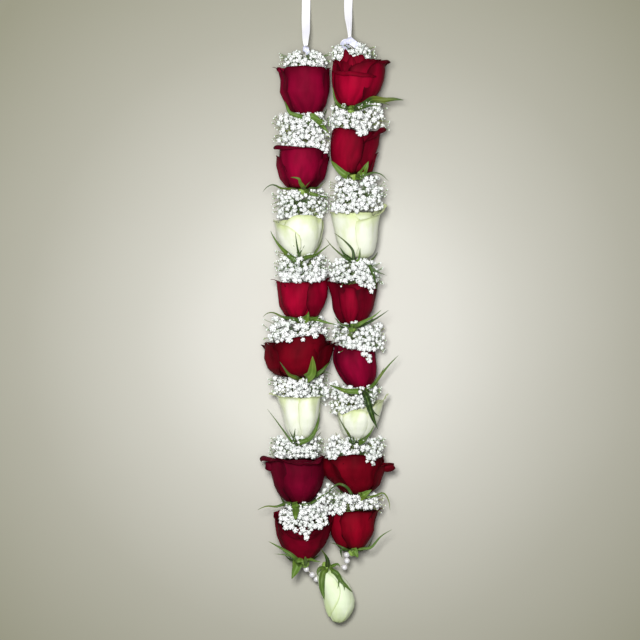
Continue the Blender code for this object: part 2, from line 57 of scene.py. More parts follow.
def world(p):
    """Sheet millimetres (n, 3) to metres in the row frame."""
    p = np.asarray(p, float).reshape(-1, 3)
    return np.stack([(p[:, 0] - SHEET_X0) * MM, (SHEET_Y0 - p[:, 1]) * MM, p[:, 2] * MM], axis=1)


def sstep(x):
    x = np.clip(x, 0.0, 1.0)
    return x * x * (3 - 2 * x)


def unit(a):
    return a / np.maximum(np.linalg.norm(a, axis=-1, keepdims=True), 1e-12)


# ---------------------------------------------------------------- camera
CAMERA_D = 4.0
FRAME_Z = 0.030
camera_data = bpy.data.cameras.new("camera")
camera_data.sensor_width = 36.0
camera_data.lens = 36.0 * CAMERA_D / 0.640
camera = bpy.data.objects.new("camera", camera_data)
camera.location = (*world([(320.0, 320.0, 0)])[0][:2], FRAME_Z + CAMERA_D)
bpy.context.scene.collection.objects.link(camera)
bpy.context.scene.camera = camera


# ---------------------------------------------------------------- mesh building
class Build:
    """Collects points, faces, UVs, a tone and a slot per part, and makes one mesh of them."""

    def __init__(self):
        self.points, self.quads, self.tris, self.uv, self.tone, self.size = [], [], [], [], [], 0
        self.quad_slots, self.tri_slots = [], []

    def add(self, points, quads=None, tris=None, uv=None, tone=0.5, slot=0):
        points = np.asarray(points, float).reshape(-1, 3)
        n = len(points)
        self.points.append(points)
        self.uv.append(np.zeros((n, 2)) if uv is None else np.asarray(uv, float).reshape(-1, 2))
        self.tone.append(np.broadcast_to(np.asarray(tone, float), (n,)))
        if quads is not None and len(quads):
            self.quads.append(np.asarray(quads, int) + self.size)
            self.quad_slots.append(np.full(len(quads), slot))
        if tris is not None and len(tris):
            self.tris.append(np.asarray(tris, int) + self.size)
            self.tri_slots.append(np.full(len(tris), slot))
        self.size += n

    def arrays(self):
        points = world(np.concatenate(self.points))
        faces = []
        for block in (*self.quads, *self.tris):
            faces += block.tolist()
        return points, faces

    def make(self, name, materials):
        points, faces = self.arrays()
        mesh = bpy.data.meshes.new(name)
        mesh.from_pydata(points.tolist(), [], faces)
        for m in materials:
            mesh.materials.append(m)
        slots = np.concatenate([*self.quad_slots, *self.tri_slots]).astype(np.int32)
        mesh.polygons.foreach_set("material_index", slots)
        mesh.polygons.foreach_set("use_smooth", np.ones(len(faces), bool))
        corner = np.empty(len(mesh.loops), np.int32)
        mesh.loops.foreach_get("vertex_index", corner)
        uv = np.concatenate(self.uv)
        layer = mesh.uv_layers.new(name="along")
        layer.data.foreach_set("uv", uv[corner].astype(np.float32).ravel())
        tone = mesh.attributes.new("tone", "FLOAT", "POINT")
        tone.data.foreach_set("value", np.concatenate(self.tone).astype(np.float32))
        mesh.update()
        obj = bpy.data.objects.new(name, mesh)
        bpy.context.scene.collection.objects.link(obj)
        return obj


def closed_sheet(outer, inner, uv):
    """(points, quads, uv) of a closed thin body from two grids of the same shape."""
    nv, nu = outer.shape[:2]
    n = nu * nv
    index = np.arange(n).reshape(nv, nu)
    a, b, c, d = index[:-1, :-1], index[:-1, 1:], index[1:, 1:], index[1:, :-1]
    front = np.stack([a, b, c, d], -1).reshape(-1, 4)
    back = np.stack([d, c, b, a], -1).reshape(-1, 4) + n
    rim = np.concatenate([index[0, :], index[1:, -1], index[-1, -2::-1], index[-2:0:-1, 0]])
    nxt = np.roll(rim, -1)
    side = np.stack([nxt, rim, rim + n, nxt + n], -1)
    points = np.concatenate([outer.reshape(-1, 3), inner.reshape(-1, 3)])
    return points, np.concatenate([front, back, side]), np.concatenate([uv.reshape(-1, 2)] * 2)


def grid_normals(g):
    du = np.gradient(g, axis=1)
    dv = np.gradient(g, axis=0)
    return unit(np.cross(du, dv))


def tube(path, radii, sides, squash=None, start=0.0):
    """A closed tube along a sheet path, as (points, quads, tris, uv)."""
    path = np.asarray(path, float)
    n = len(path)
    t = unit(np.gradient(path, axis=0))
    up = np.array([0.0, 0.0, 1.0])
    u = np.cross(np.broadcast_to(up, t.shape), t)
    weak = np.linalg.norm(u, axis=1) < 0.2
    u[weak] = np.cross(np.array([1.0, 0.0, 0.0]), t[weak])
    u = unit(u)
    w = np.cross(t, u)
    k = start + 2 * np.pi * np.arange(sides) / sides
    radii = np.broadcast_to(np.asarray(radii, float), (n,))
    rings = path[:, None] + radii[:, None, None] * (np.cos(k)[None, :, None] * u[:, None] + np.sin(k)[None, :, None] * w[:, None])
    points = np.concatenate([rings.reshape(-1, 3), path[:1], path[-1:]])
    index = np.arange(n * sides).reshape(n, sides)
    nxt = np.roll(index, -1, axis=1)
    quads = np.stack([index[:-1], index[1:], nxt[1:], nxt[:-1]], -1).reshape(-1, 4)
    first, last = n * sides, n * sides + 1
    tris = np.concatenate([
        np.stack([index[0], nxt[0], np.full(sides, first)], -1),
        np.stack([nxt[-1], index[-1], np.full(sides, last)], -1),
    ])
    length = np.concatenate([[0], np.cumsum(np.linalg.norm(np.diff(path, axis=0), axis=1))])
    uv = np.stack([np.broadcast_to(k / (2 * np.pi), (n, sides)), np.broadcast_to(length[:, None], (n, sides))], -1).reshape(-1, 2)
    uv = np.concatenate([uv, [[0.5, 0.0], [0.5, length[-1]]]])
    return points, quads, tris, uv


def smooth_path(points, count):
    """Catmull-Rom through the points (any width), evenly in chord length."""
    p = np.asarray(points, float)
    p = np.concatenate([[2 * p[0] - p[1]], p, [2 * p[-1] - p[-2]]])
    seg = np.maximum(np.linalg.norm(np.diff(p[:, :3], axis=0), axis=1), 1e-6)[1:-1]
    at = np.concatenate([[0], np.cumsum(seg)])
    out = []
    for x in np.linspace(0, at[-1], count):
        i = min(int(np.searchsorted(at, x, side="right")) - 1, len(seg) - 1)
        t = (x - at[i]) / seg[i]
        a, b, c, d = p[i], p[i + 1], p[i + 2], p[i + 3]
        out.append(0.5 * (2 * b + (c - a) * t + (2 * a - 5 * b + 4 * c - d) * t**2 + (3 * b - a - 3 * c + d) * t**3))
    return np.array(out)


# ---------------------------------------------------------------- materials
class Nodes:
    def __init__(self, name):
        self.material = bpy.data.materials.new(name)
        self.material.use_nodes = True
        self.tree = self.material.node_tree
        self.shader = self.tree.nodes["Principled BSDF"]

    def node(self, kind, **values):
        n = self.tree.nodes.new(kind)
        for k, v in values.items():
            setattr(n, k, v)
        return n

    def link(self, a, b):
        self.tree.links.new(a, b)

    def set(self, **values):
        for k, v in values.items():
            self.shader.inputs[k.replace("_", " ")].default_value = v

    def attribute(self, name):
        return self.node("ShaderNodeAttribute", attribute_name=name).outputs["Fac"]

    def uv(self):
        n = self.node("ShaderNodeUVMap")
        n.uv_map = "along"
        return n.outputs["UV"]

    def split(self, vector):
        n = self.node("ShaderNodeSeparateXYZ")
        self.link(vector, n.inputs[0])
        return n.outputs

    def join(self, x, y, z):
        n = self.node("ShaderNodeCombineXYZ")
        for s, v in zip(n.inputs, (x, y, z)):
            if isinstance(v, (int, float)):
                s.default_value = v
            else:
                self.link(v, s)
        return n.outputs[0]

    def math(self, op, a, b=0.0, clamp=False):
        n = self.node("ShaderNodeMath", operation=op, use_clamp=clamp)
        for s, v in zip(n.inputs, (a, b)):
            if isinstance(v, (int, float)):
                s.default_value = v
            else:
                self.link(v, s)
        return n.outputs[0]

    def noise(self, vector, scale, detail=3.0, roughness=0.55, distortion=0.0):
        n = self.node("ShaderNodeTexNoise")
        self.link(vector, n.inputs["Vector"])
        n.inputs["Scale"].default_value = scale
        n.inputs["Detail"].default_value = detail
        n.inputs["Roughness"].default_value = roughness
        n.inputs["Distortion"].default_value = distortion
        return n.outputs["Fac"]

    def ramp(self, fac, *stops):
        n = self.node("ShaderNodeValToRGB")
        self.link(fac, n.inputs[0])
        e = n.color_ramp.elements
        while len(e) < len(stops):
            e.new(0.5)
        for el, (pos, col) in zip(e, stops):
            el.position = pos
            el.color = (*col, 1) if len(col) == 3 else col
        return n.outputs["Color"]

    def mix(self, fac, a, b, blend="MIX"):
        n = self.node("ShaderNodeMix", data_type="RGBA", blend_type=blend)
        ends = [s for s in n.inputs if s.type == "RGBA"]
        if isinstance(fac, (int, float)):
            n.inputs[0].default_value = fac
        else:
            self.link(fac, n.inputs[0])
        for s, v in zip(ends, (a, b)):
            if isinstance(v, tuple):
                s.default_value = (*v, 1) if len(v) == 3 else v
            else:
                self.link(v, s)
        return [o for o in n.outputs if o.type == "RGBA"][0]

    def bump(self, height, strength, distance):
        n = self.node("ShaderNodeBump")
        n.inputs["Strength"].default_value = strength
        n.inputs["Distance"].default_value = distance
        self.link(height, n.inputs["Height"])
        self.link(n.outputs[0], self.shader.inputs["Normal"])

    def colour(self, c):
        self.link(c, self.shader.inputs["Base Color"])

    def rough(self, r):
        self.link(r, self.shader.inputs["Roughness"])


def petal_material(name, base, heart, rim, deep, sheen_tint, sheen, roughness, vein_depth, spot=None, velvet_and_side_shade=0.0, specular=0.30, rim_from=0.93, side_tint_and_shade=0.6):
    m = Nodes(name)
    uv = m.uv()
    u, v, _ = m.split(uv)
    tone = m.attribute("tone")
    place = m.node("ShaderNodeTexCoord").outputs["Object"]
    # Veins fan out from the petal's foot and waver a little.
    waver = m.noise(m.join(m.math("MULTIPLY", u, 3.0), m.math("MULTIPLY", v, 2.2), tone), 2.0, 2.0)
    across = m.math("ADD", m.math("MULTIPLY", u, 17.0), m.math("MULTIPLY", waver, 3.0))
    veins = m.noise(m.join(across, m.math("MULTIPLY", v, 1.3), m.math("MULTIPLY", tone, 9.0)), 1.0, 4.0, 0.6)
    blotch_and_sheen = m.noise(place, 70.0, 2.0, 0.5)
    along = m.ramp(v, (0.0, heart), (0.16, base), (rim_from, base), (1.0, rim))
    side = m.math("ABSOLUTE", m.math("SUBTRACT", m.math("MULTIPLY", u, 2.0), 1.0))
    # The rim colour spreads along the petal's sides: on the white and bud petals their own greenish edge, on the red
    # petals painted shade darkening the sides.
    along = m.mix(m.math("MULTIPLY", m.math("POWER", side, 8.0), m.math("MULTIPLY", v, side_tint_and_shade), clamp=True), along, rim)
    # A petal's tone darkens it towards the deep colour, and above 1 lightens it: partly each petal's own tone, partly
    # painted shade, as the side and inner petals get lower tones than the front ones.
    dark = m.math("MULTIPLY", m.math("SUBTRACT", 1.0, tone, clamp=True), 0.95)
    c = m.mix(m.math("SUBTRACT", tone, 1.0, clamp=True), along, tuple(min(0.93, 1.7 * x) for x in base))
    c = m.mix(dark, c, deep)
    c = m.mix(m.math("MULTIPLY", veins, 0.30), c, deep)
    # Random patches mixed towards the sheen's tint colour: painted sheen.
    c = m.mix(m.math("MULTIPLY", m.math("SUBTRACT", blotch_and_sheen, 0.42, clamp=True), 0.7), c, sheen_tint)
    if velvet_and_side_shade:  # velvet patches at random, with painted shade darker towards the rim and the petal's sides
        patch = m.noise(m.join(m.math("MULTIPLY", u, 3.4), m.math("MULTIPLY", v, 1.1), m.math("MULTIPLY", tone, 31.0)), 1.5, 2.0)
        edge = m.math("POWER", m.math("ABSOLUTE", m.math("SUBTRACT", m.math("MULTIPLY", u, 2.0), 1.0)), 3.0)
        amount = m.math("SUBTRACT", m.math("ADD", m.math("MULTIPLY", patch, 1.9), m.math("MULTIPLY", edge, 0.75)), 0.72, clamp=True)
        c = m.mix(m.math("MULTIPLY", amount, velvet_and_side_shade), c, deep)
        # Painted highlight: the velvet colour is brightest down the petal's middle.
        middle = m.math("MULTIPLY", m.math("MULTIPLY", m.math("SUBTRACT", 1.0, m.math("POWER", side, 1.4)), m.math("SINE", m.math("MULTIPLY", v, 3.1416), 0.0)), m.math("SUBTRACT", 1.15, patch, clamp=True))
        c = m.mix(m.math("MULTIPLY", m.math("MULTIPLY", middle, m.math("POWER", tone, 1.2)), 0.9, clamp=True), c, (1.55 * base[0], 2.0 * base[1], 1.6 * base[2]))
    if spot is not None:
        # Guard-petal streaks: greenish or pinkish flushes along the petal's middle and margin.
        flush = m.noise(m.join(m.math("MULTIPLY", u, 2.2), m.math("MULTIPLY", v, 1.1), m.math("MULTIPLY", tone, 5.0)), 1.6, 3.0)
        edge = m.math("POWER", v, 5.0)
        amount = m.math("MULTIPLY", m.math("SUBTRACT", m.math("ADD", flush, m.math("MULTIPLY", edge, 0.22)), 0.52, clamp=True), 2.6, clamp=True)
        c = m.mix(amount, c, spot)
    m.colour(c)
    m.rough(m.math("ADD", roughness, m.math("MULTIPLY", veins, 0.18)))
    m.bump(m.math("ADD", m.math("MULTIPLY", veins, 0.8), m.math("MULTIPLY", blotch_and_sheen, 0.3)), vein_depth, 0.0006)
    m.set(Sheen_Weight=sheen, Sheen_Roughness=0.35, Sheen_Tint=(*sheen_tint, 1), Specular_IOR_Level=specular)
    return m.material


red_petals = {
    tint: petal_material(f"petal_red_{tint}", (red, 0.0005, blue), (0.16, 0.008, 0.008), (0.110, 0.0005, 0.42 * blue), (0.032, 0.0002, 0.17 * blue), (1.25 * red, 0.0015, 1.4 * blue), 0.02, 0.60, 0.55, velvet_and_side_shade=0.85, specular=0.04, rim_from=0.78, side_tint_and_shade=0.8)
    for tint, red, blue in (("cool", 0.213, 0.0225), ("plain", 0.219, 0.0152), ("warm", 0.220, 0.0104))
}
white_petal = petal_material("petal_white", (0.78, 0.80, 0.73), (0.50, 0.60, 0.24), (0.47, 0.53, 0.21), (0.50, 0.56, 0.33), (0.97, 0.97, 0.94), 0.10, 0.48, 0.45, spot=(0.53, 0.61, 0.29), rim_from=0.88, side_tint_and_shade=1.0)
bud_petal = petal_material("petal_bud", (0.68, 0.76, 0.57), (0.36, 0.52, 0.14), (0.48, 0.58, 0.24), (0.44, 0.56, 0.25), (0.95, 0.96, 0.88), 0.10, 0.48, 0.45, spot=(0.52, 0.64, 0.30), rim_from=0.92)


def leaf_material(name, light, dark, roughness=0.46):
    m = Nodes(name)
    u, v, _ = m.split(m.uv())
    tone = m.attribute("tone")
    place = m.node("ShaderNodeTexCoord").outputs["Object"]
    cells = m.noise(place, 260.0, 4.0, 0.62)
    broad = m.noise(place, 55.0, 2.0)
    side = m.math("ABSOLUTE", m.math("SUBTRACT", u, 0.5))
    fine = m.noise(m.join(m.math("MULTIPLY", side, 30.0), m.math("MULTIPLY", v, 40.0), tone), 1.0, 3.0)
    amount = m.math("MULTIPLY", m.math("ADD", m.math("MULTIPLY", broad, 0.7), m.math("MULTIPLY", cells, 0.5)), 1.0, clamp=True)
    c = m.mix(m.math("MULTIPLY", m.math("ADD", amount, m.math("MULTIPLY", m.math("SUBTRACT", 0.5, tone), 2.0)), 0.85, clamp=True), light, dark)
    rib = m.math("MULTIPLY", m.math("SUBTRACT", 0.09, side, clamp=True), 5.0, clamp=True)
    c = m.mix(rib, c, tuple(min(1.0, x * 2.0) for x in light))
    margin = m.math("MULTIPLY", m.math("SUBTRACT", side, 0.42, clamp=True), 9.0, clamp=True)
    c = m.mix(m.math("MULTIPLY", margin, 0.7), c, dark)
    warm = m.math("MULTIPLY", m.math("SUBTRACT", m.noise(place, 33.0, 1.0), 0.5, clamp=True), 2.2, clamp=True)
    c = m.mix(warm, c, tuple(x * y for x, y in zip(light, (2.0, 1.25, 0.9))))
    m.colour(c)
    m.rough(m.math("ADD", roughness, m.math("MULTIPLY", cells, 0.2)))
    m.bump(m.math("ADD", m.math("MULTIPLY", fine, 0.6), m.math("ADD", cells, m.math("MULTIPLY", rib, 1.2))), 0.5, 0.0003)
    m.set(Sheen_Weight=0.08, Sheen_Roughness=0.4, Sheen_Tint=(0.8, 0.9, 0.5, 1), Specular_IOR_Level=0.35)
    return m.material


sepal_green = leaf_material("sepal_green", (0.085, 0.158, 0.018), (0.016, 0.040, 0.006))
hip_green = leaf_material("hip_green", (0.27, 0.42, 0.085), (0.09, 0.19, 0.030), 0.36)
stem_green = leaf_material("stem_green", (0.20, 0.30, 0.10), (0.06, 0.12, 0.035))


def floret_material():
    m = Nodes("floret_white")
    u, v, _ = m.split(m.uv())
    tone = m.attribute("tone")
    place = m.node("ShaderNodeTexCoord").outputs["Object"]
    grain = m.noise(place, 900.0, 2.0)
    # Greener and darker towards each petal's foot: partly the floret's green heart, partly painted shade between the
    # petals.
    heart = m.ramp(v, (0.0, (0.50, 0.58, 0.42)), (0.34, (0.82, 0.86, 0.83)), (0.66, (0.93, 0.95, 0.955)), (1.0, (0.97, 0.975, 0.97)))
    # Lower tone greys a floret: at random on the outer florets, and as painted shade on the hidden ones deep in the
    # spray.
    c = m.mix(m.math("MULTIPLY", m.math("SUBTRACT", 1.0, tone, clamp=True), 1.1, clamp=True), heart, (0.56, 0.63, 0.57))
    m.colour(m.mix(m.math("MULTIPLY", grain, 0.12), c, (0.70, 0.74, 0.78)))
    m.rough(m.math("ADD", 0.5, m.math("MULTIPLY", grain, 0.2)))
    m.bump(grain, 0.4, 0.0002)
    m.set(Specular_IOR_Level=0.3, Sheen_Weight=0.1, Sheen_Tint=(0.95, 0.97, 1.0, 1))
    return m.material


def satin_material(name, fold, face):
    m = Nodes(name)
    u, v, _ = m.split(m.uv())
    place = m.node("ShaderNodeTexCoord").outputs["Object"]
    threads = m.noise(m.join(m.math("MULTIPLY", u, 60.0), m.math("MULTIPLY", v, 0.9), 0.0), 1.0, 2.0)
    wefts = m.noise(m.join(m.math("MULTIPLY", u, 3.0), m.math("MULTIPLY", v, 14.0), 2.0), 1.0, 2.0)
    side = m.math("ABSOLUTE", m.math("SUBTRACT", u, 0.5))
    selvedge = m.math("MULTIPLY", m.math("SUBTRACT", side, 0.44, clamp=True), 16.0, clamp=True)
    cloud = m.noise(place, 30.0, 2.0)
    # The darker, bluer fold colour lies in random clouds: painted shade, as in the satin's folds.
    c = m.ramp(m.math("ADD", m.math("MULTIPLY", cloud, 0.6), m.math("MULTIPLY", threads, 0.4)), (0.30, fold), (0.62, face))
    m.colour(m.mix(selvedge, c, (0.80, 0.80, 0.81)))
    m.rough(m.math("ADD", 0.24, m.math("ADD", m.math("MULTIPLY", wefts, 0.14), m.math("MULTIPLY", selvedge, 0.25))))
    m.bump(m.math("ADD", m.math("MULTIPLY", threads, 0.5), m.math("MULTIPLY", selvedge, 0.8)), 0.35, 0.0003)
    m.set(Sheen_Weight=0.3, Sheen_Roughness=0.25, Anisotropic=0.5, Specular_IOR_Level=0.6)
    return m.material


def pearl_material():
    m = Nodes("pearl")
    place = m.node("ShaderNodeTexCoord").outputs["Object"]
    cloud = m.noise(place, 340.0, 3.0, 0.5, 0.6)
    orient = m.noise(place, 210.0, 2.0, 0.5, 0.9)
    lustre = m.ramp(orient, (0.32, (0.50, 0.52, 0.57)), (0.48, (0.60, 0.58, 0.61)), (0.60, (0.70, 0.71, 0.75)), (0.72, (0.80, 0.82, 0.86)))
    m.colour(m.mix(m.math("MULTIPLY", cloud, 0.30), lustre, (0.80, 0.77, 0.74)))
    m.rough(m.math("ADD", 0.10, m.math("MULTIPLY", cloud, 0.12)))
    m.bump(cloud, 0.08, 0.0002)
    m.set(Coat_Weight=0.8, Coat_Roughness=0.06, Specular_IOR_Level=0.7)
    return m.material


def thread_material():
    m = Nodes("cotton_thread")
    u, v, _ = m.split(m.uv())
    ply = m.node("ShaderNodeMath", operation="SINE")
    m.link(m.math("ADD", m.math("MULTIPLY", v, 5.0), m.math("MULTIPLY", u, 12.566)), ply.inputs[0])
    fuzz = m.noise(m.join(m.math("MULTIPLY", u, 8.0), m.math("MULTIPLY", v, 6.0), 0.0), 1.0, 3.0)
    c = m.mix(m.math("ADD", m.math("MULTIPLY", ply.outputs[0], 0.25), m.math("MULTIPLY", fuzz, 0.5), clamp=True), (0.60, 0.58, 0.50), (0.88, 0.86, 0.80))
    m.colour(c)
    m.rough(m.math("ADD", 0.6, m.math("MULTIPLY", fuzz, 0.3)))
    m.bump(m.math("ADD", ply.outputs[0], fuzz), 0.6, 0.0002)
    return m.material


floret_white, pearl_white, cotton = floret_material(), pearl_material(), thread_material()
satin = satin_material("satin", (0.66, 0.66, 0.76), (0.90, 0.90, 0.92))
# The knots' copy of the satin is darker and bluer: painted shade.
satin_knot_shaded = satin_material("satin_knot_shaded", (0.42, 0.43, 0.62), (0.66, 0.675, 0.84))

# ---------------------------------------------------------------- the neck ribbon, a free flat cord
KNOT = {"left": ((305.8, 49.0), 27.0), "right": ((349.8, 41.0), 26.0)}


def ribbon_route():
    """The neck ribbon's middle line, as (sheet x, sheet y, height, half width, lean from flat in degrees)."""
    (lx, ly), lz = KNOT["left"]
    (rx, ry), rz = KNOT["right"]
    rows = [
        (lx, ly - 3.6, lz, 2.1, 0), (lx - 0.2, ly - 9, 25.5, 3.2, 4), (305.9, 30, 19.0, 4.2, 0),
        (305.8, 18, 11.5, 4.5, 0), (306.0, 6, 5.2, 4.5, 0), (306.0, -6, 1.7, 4.5, 4), (305.2, -17, 2.2, 4.5, 28),
        (303.4, -28, 3.9, 4.5, 62), (301.3, -39, 4.75, 4.5, 86),
    ]
    for k in range(13):
        angle = math.radians(200 - 220 * k / 12)
        rows.append((327.5 + 27.0 * math.cos(angle), -60 - 27.0 * math.sin(angle), 4.8, 4.5, 90))
    rows += [
        (353.4, -39, 4.75, 4.5, 94), (351.6, -28, 3.9, 4.5, 118), (349.8, -17, 2.2, 4.5, 152),
        (348.8, -6, 1.7, 4.5, 176), (348.4, 6, 5.4, 4.4, 180), (348.6, 16, 12.0, 4.0, 180), (349.2, 25, 19.0, 2.9, 184),
        (rx - 0.2, ry - 8, 24.0, 1.9, 180), (rx, ry - 3.8, rz, 1.6, 180),
    ]
    return rows


def make_ribbon():
    rows = smooth_path([(x, y, z, half, lean) for x, y, z, half, lean in ribbon_route()], 210)
    path, half, lean = rows[:, :3], rows[:, 3], np.radians(rows[:, 4])
    t = unit(np.gradient(path, axis=0))
    flat = unit(np.cross(np.broadcast_to([0.0, 0.0, 1.0], t.shape), t))  # sheet y points down, so this is the level way across
    up = np.cross(t, flat)
    up *= np.sign(up[:, 2:3])
    w = flat * np.cos(lean)[:, None] + up * np.sin(lean)[:, None]
    h = np.cross(t, w)
    across = np.linspace(-1, 1, 13)
    gather = 1 - half / 4.5  # pleats where the ribbon is drawn in
    pleat = gather[:, None] * 0.9 * np.cos(across * 7.5)[None, :]
    cup = 0.25 * across[None, :] ** 2 * (half / 4.5)[:, None]
    mid = path[:, None] + w[:, None] * (half[:, None] * 0.93 * across[None, :])[..., None]
    thick = 0.16
    outer = mid + h[:, None] * (pleat + cup + thick)[..., None]
    inner = mid + h[:, None] * (pleat + cup - thick)[..., None]
    length = np.concatenate([[0], np.cumsum(np.linalg.norm(np.diff(path, axis=0), axis=1))])
    uv = np.stack(np.broadcast_arrays(across[None, :] * 0.5 + 0.5, length[:, None]), -1)
    points, quads, uv = closed_sheet(outer, inner, uv)
    points[:, 2] = np.maximum(points[:, 2], 0.1)
    b = Build()
    b.add(points, quads, uv=uv)
    return b.make("neck_ribbon_satin", [satin]), world(path), length[-1] * MM


ribbon, ribbon_path, ribbon_length = make_ribbon()


def leaf_strip(b, path, width, slot, tone, face=None, fold=0.18, thick=0.28, profile="leaf", count=16, curl=0.0, width_to=None):
    """A closed thin leaf or band along a sheet path. face is which way its flat side looks."""
    path = smooth_path(path, count)
    n = len(path)
    t = unit(np.gradient(path, axis=0))
    face = np.broadcast_to(np.asarray([0, 0, 1.0] if face is None else face, float), t.shape)
    w = unit(np.cross(face, t))
    h = unit(np.cross(t, w))
    h *= np.sign(np.sum(h * face, axis=1, keepdims=True))
    x = np.linspace(0, 1, n)
    if profile == "leaf":
        shape = np.interp(x, [0, 0.12, 0.3, 0.5, 0.75, 0.93, 1], [0.55, 0.82, 1.0, 0.86, 0.46, 0.2, 0.06])
    elif profile == "broad":
        shape = np.interp(x, [0, 0.15, 0.4, 0.65, 0.85, 1], [0.5, 0.8, 1.0, 0.86, 0.5, 0.05])
    elif profile == "lobe":
        shape = np.interp(x, [0, 0.25, 0.6, 0.9, 1], [0.9, 1.0, 0.85, 0.5, 0.2])
    else:
        shape = np.ones(n)
    half = 0.5 * width * shape
    across = np.linspace(-1, 1, 7)
    roll = np.radians(curl) * x
    w, h = w * np.cos(roll)[:, None] + h * np.sin(roll)[:, None], h * np.cos(roll)[:, None] - w * np.sin(roll)[:, None]
    mid = path[:, None] + w[:, None] * (half[:, None] * across[None, :])[..., None]
    bend = fold * half[:, None] * (np.abs(across)[None, :] ** 1.4) * 2 - fold * half[:, None]
    ruffle = 0.16 * half[:, None] * np.abs(across)[None, :] * np.sin(x * 17 + 3 * tone)[:, None] * np.sign(across)[None, :]
    tt = thick * (1 - 0.75 * np.abs(across) ** 3)[None, :] * (0.5 + 0.5 * shape)[:, None]
    outer = mid + h[:, None] * (bend + ruffle + tt)[..., None]
    inner = mid + h[:, None] * (bend + ruffle - tt)[..., None]
    uv = np.stack(np.broadcast_arrays(across[None, :] * 0.5 + 0.5, x[:, None]), -1)
    points, quads, uv = closed_sheet(outer, inner, uv)
    b.add(points, quads, uv=uv, tone=tone, slot=slot)


def make_knot(side):
    """The tied end of the ribbon: a wrapped knot, a small loop and the band that leaves it."""
    (x, y), z = KNOT[side]
    b = Build()
    r = 3.0 if side == "left" else 3.4
    for i, (tilt, turn) in enumerate(((0.35, 0.0), (-0.5, 1.2), (1.1, 2.3))):  # three wraps
        k = np.linspace(0, 2 * np.pi, 29)[:-1]
        e1 = np.array([math.cos(tilt), math.sin(tilt), 0.0])
        e2 = np.array([-math.sin(tilt) * 0.2, math.cos(tilt) * 0.2, 1.0])
        ring = np.array([x, y, z]) + r * (np.cos(k)[:, None] * e1 * 0.95 + np.sin(k)[:, None] * e2 * 0.9)
        out = unit(ring - np.array([x, y, z]))
        along = unit(np.cross(e1, e2))
        across = np.linspace(-1, 1, 7)
        mid = ring[:, None] + along * (1.35 * across[None, :])[..., None] + out[:, None] * (0.35 * i + 0.25 * np.cos(across * 5))[None, :, None]
        outer, inner = mid + out[:, None] * 0.2, mid - out[:, None] * 0.2
        n, m = outer.shape[:2]
        section = np.concatenate([outer, inner[:, ::-1]], axis=1)
        index = np.arange(n * 2 * m).reshape(n, 2 * m)
        right, down = np.roll(index, -1, axis=1), np.roll(index, -1, axis=0)
        both = np.roll(right, -1, axis=0)
        quads = np.stack([index, right, both, down], -1).reshape(-1, 4)
        uv = np.stack(np.broadcast_arrays(np.concatenate([across, across[::-1]])[None, :] * 0.5 + 0.5, (k * r)[:, None]), -1)
        b.add(section.reshape(-1, 3), quads, uv=uv.reshape(-1, 2))
    if side == "right":
        leaf_strip(b, [(x - 1.5, y - 2.2, z + 3.0), (x + 3.6, y + 2.2, z + 5.6), (x + 9.4, y + 6.6, z + 4.2)], 6.6, 0, 0.6, fold=0.12, thick=0.2, profile="band", count=12)
        loop = [(x - 1.0, y + 1.0, z + 2.5), (x - 5.4, y + 0.4, z + 4.4), (x - 8.2, y + 4.6, z + 3.0), (x - 5.4, y + 7.8, z + 1.4), (x - 1.4, y + 4.6, z + 1.0)]
        leaf_strip(b, loop, 4.6, 0, 0.4, face=(0.35, 0.2, 1.0), fold=0.1, thick=0.2, profile="band", count=18)
    else:
        leaf_strip(b, [(x + 0.4, y - 1.0, z + 2.6), (x + 1.6, y + 2.4, z + 3.0), (x + 2.4, y + 5.4, z + 1.2)], 4.2, 0, 0.6, fold=0.12, thick=0.2, profile="band", count=10)
    return b.make(f"ribbon_knot_{side}_satin", [satin_knot_shaded])


knots = {side: make_knot(side) for side in KNOT}
for side, obj in knots.items():
    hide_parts(f"ribbon_knot_{side}")
    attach(obj, "root")
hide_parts("neck_ribbon")
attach(ribbon, "root")

# ---------------------------------------------------------------- the flowers
# Each head: colour, silhouette rows from the hip to the rim as (y, left x, right x), and its
# outer petals. cut lowers the rim that the inner petals reach, by angle from the viewer's side.


def P(at, half, rim, inset=0.0, roll=80, rho=2.4, flare=0.0, slant=0.5, tip=None, belly=1.0, corner=0.16, tone=0.86, radial=1.0, ragged=0.0, fade=0.0):
    """One petal: its middle (degrees from +Z towards +X) and half width, its rim's height over the
    last row at its left, middle and right, and how its rim rolls back. tip is (place, up, out)."""
    rim = rim if isinstance(rim, tuple) else (rim, rim, rim)
    return dict(at=at, half=half, rim=rim, inset=inset, roll=roll, rho=rho, flare=flare, slant=slant, tip=tip, belly=belly, corner=corner, tone=tone, radial=radial, ragged=ragged, fade=fade)
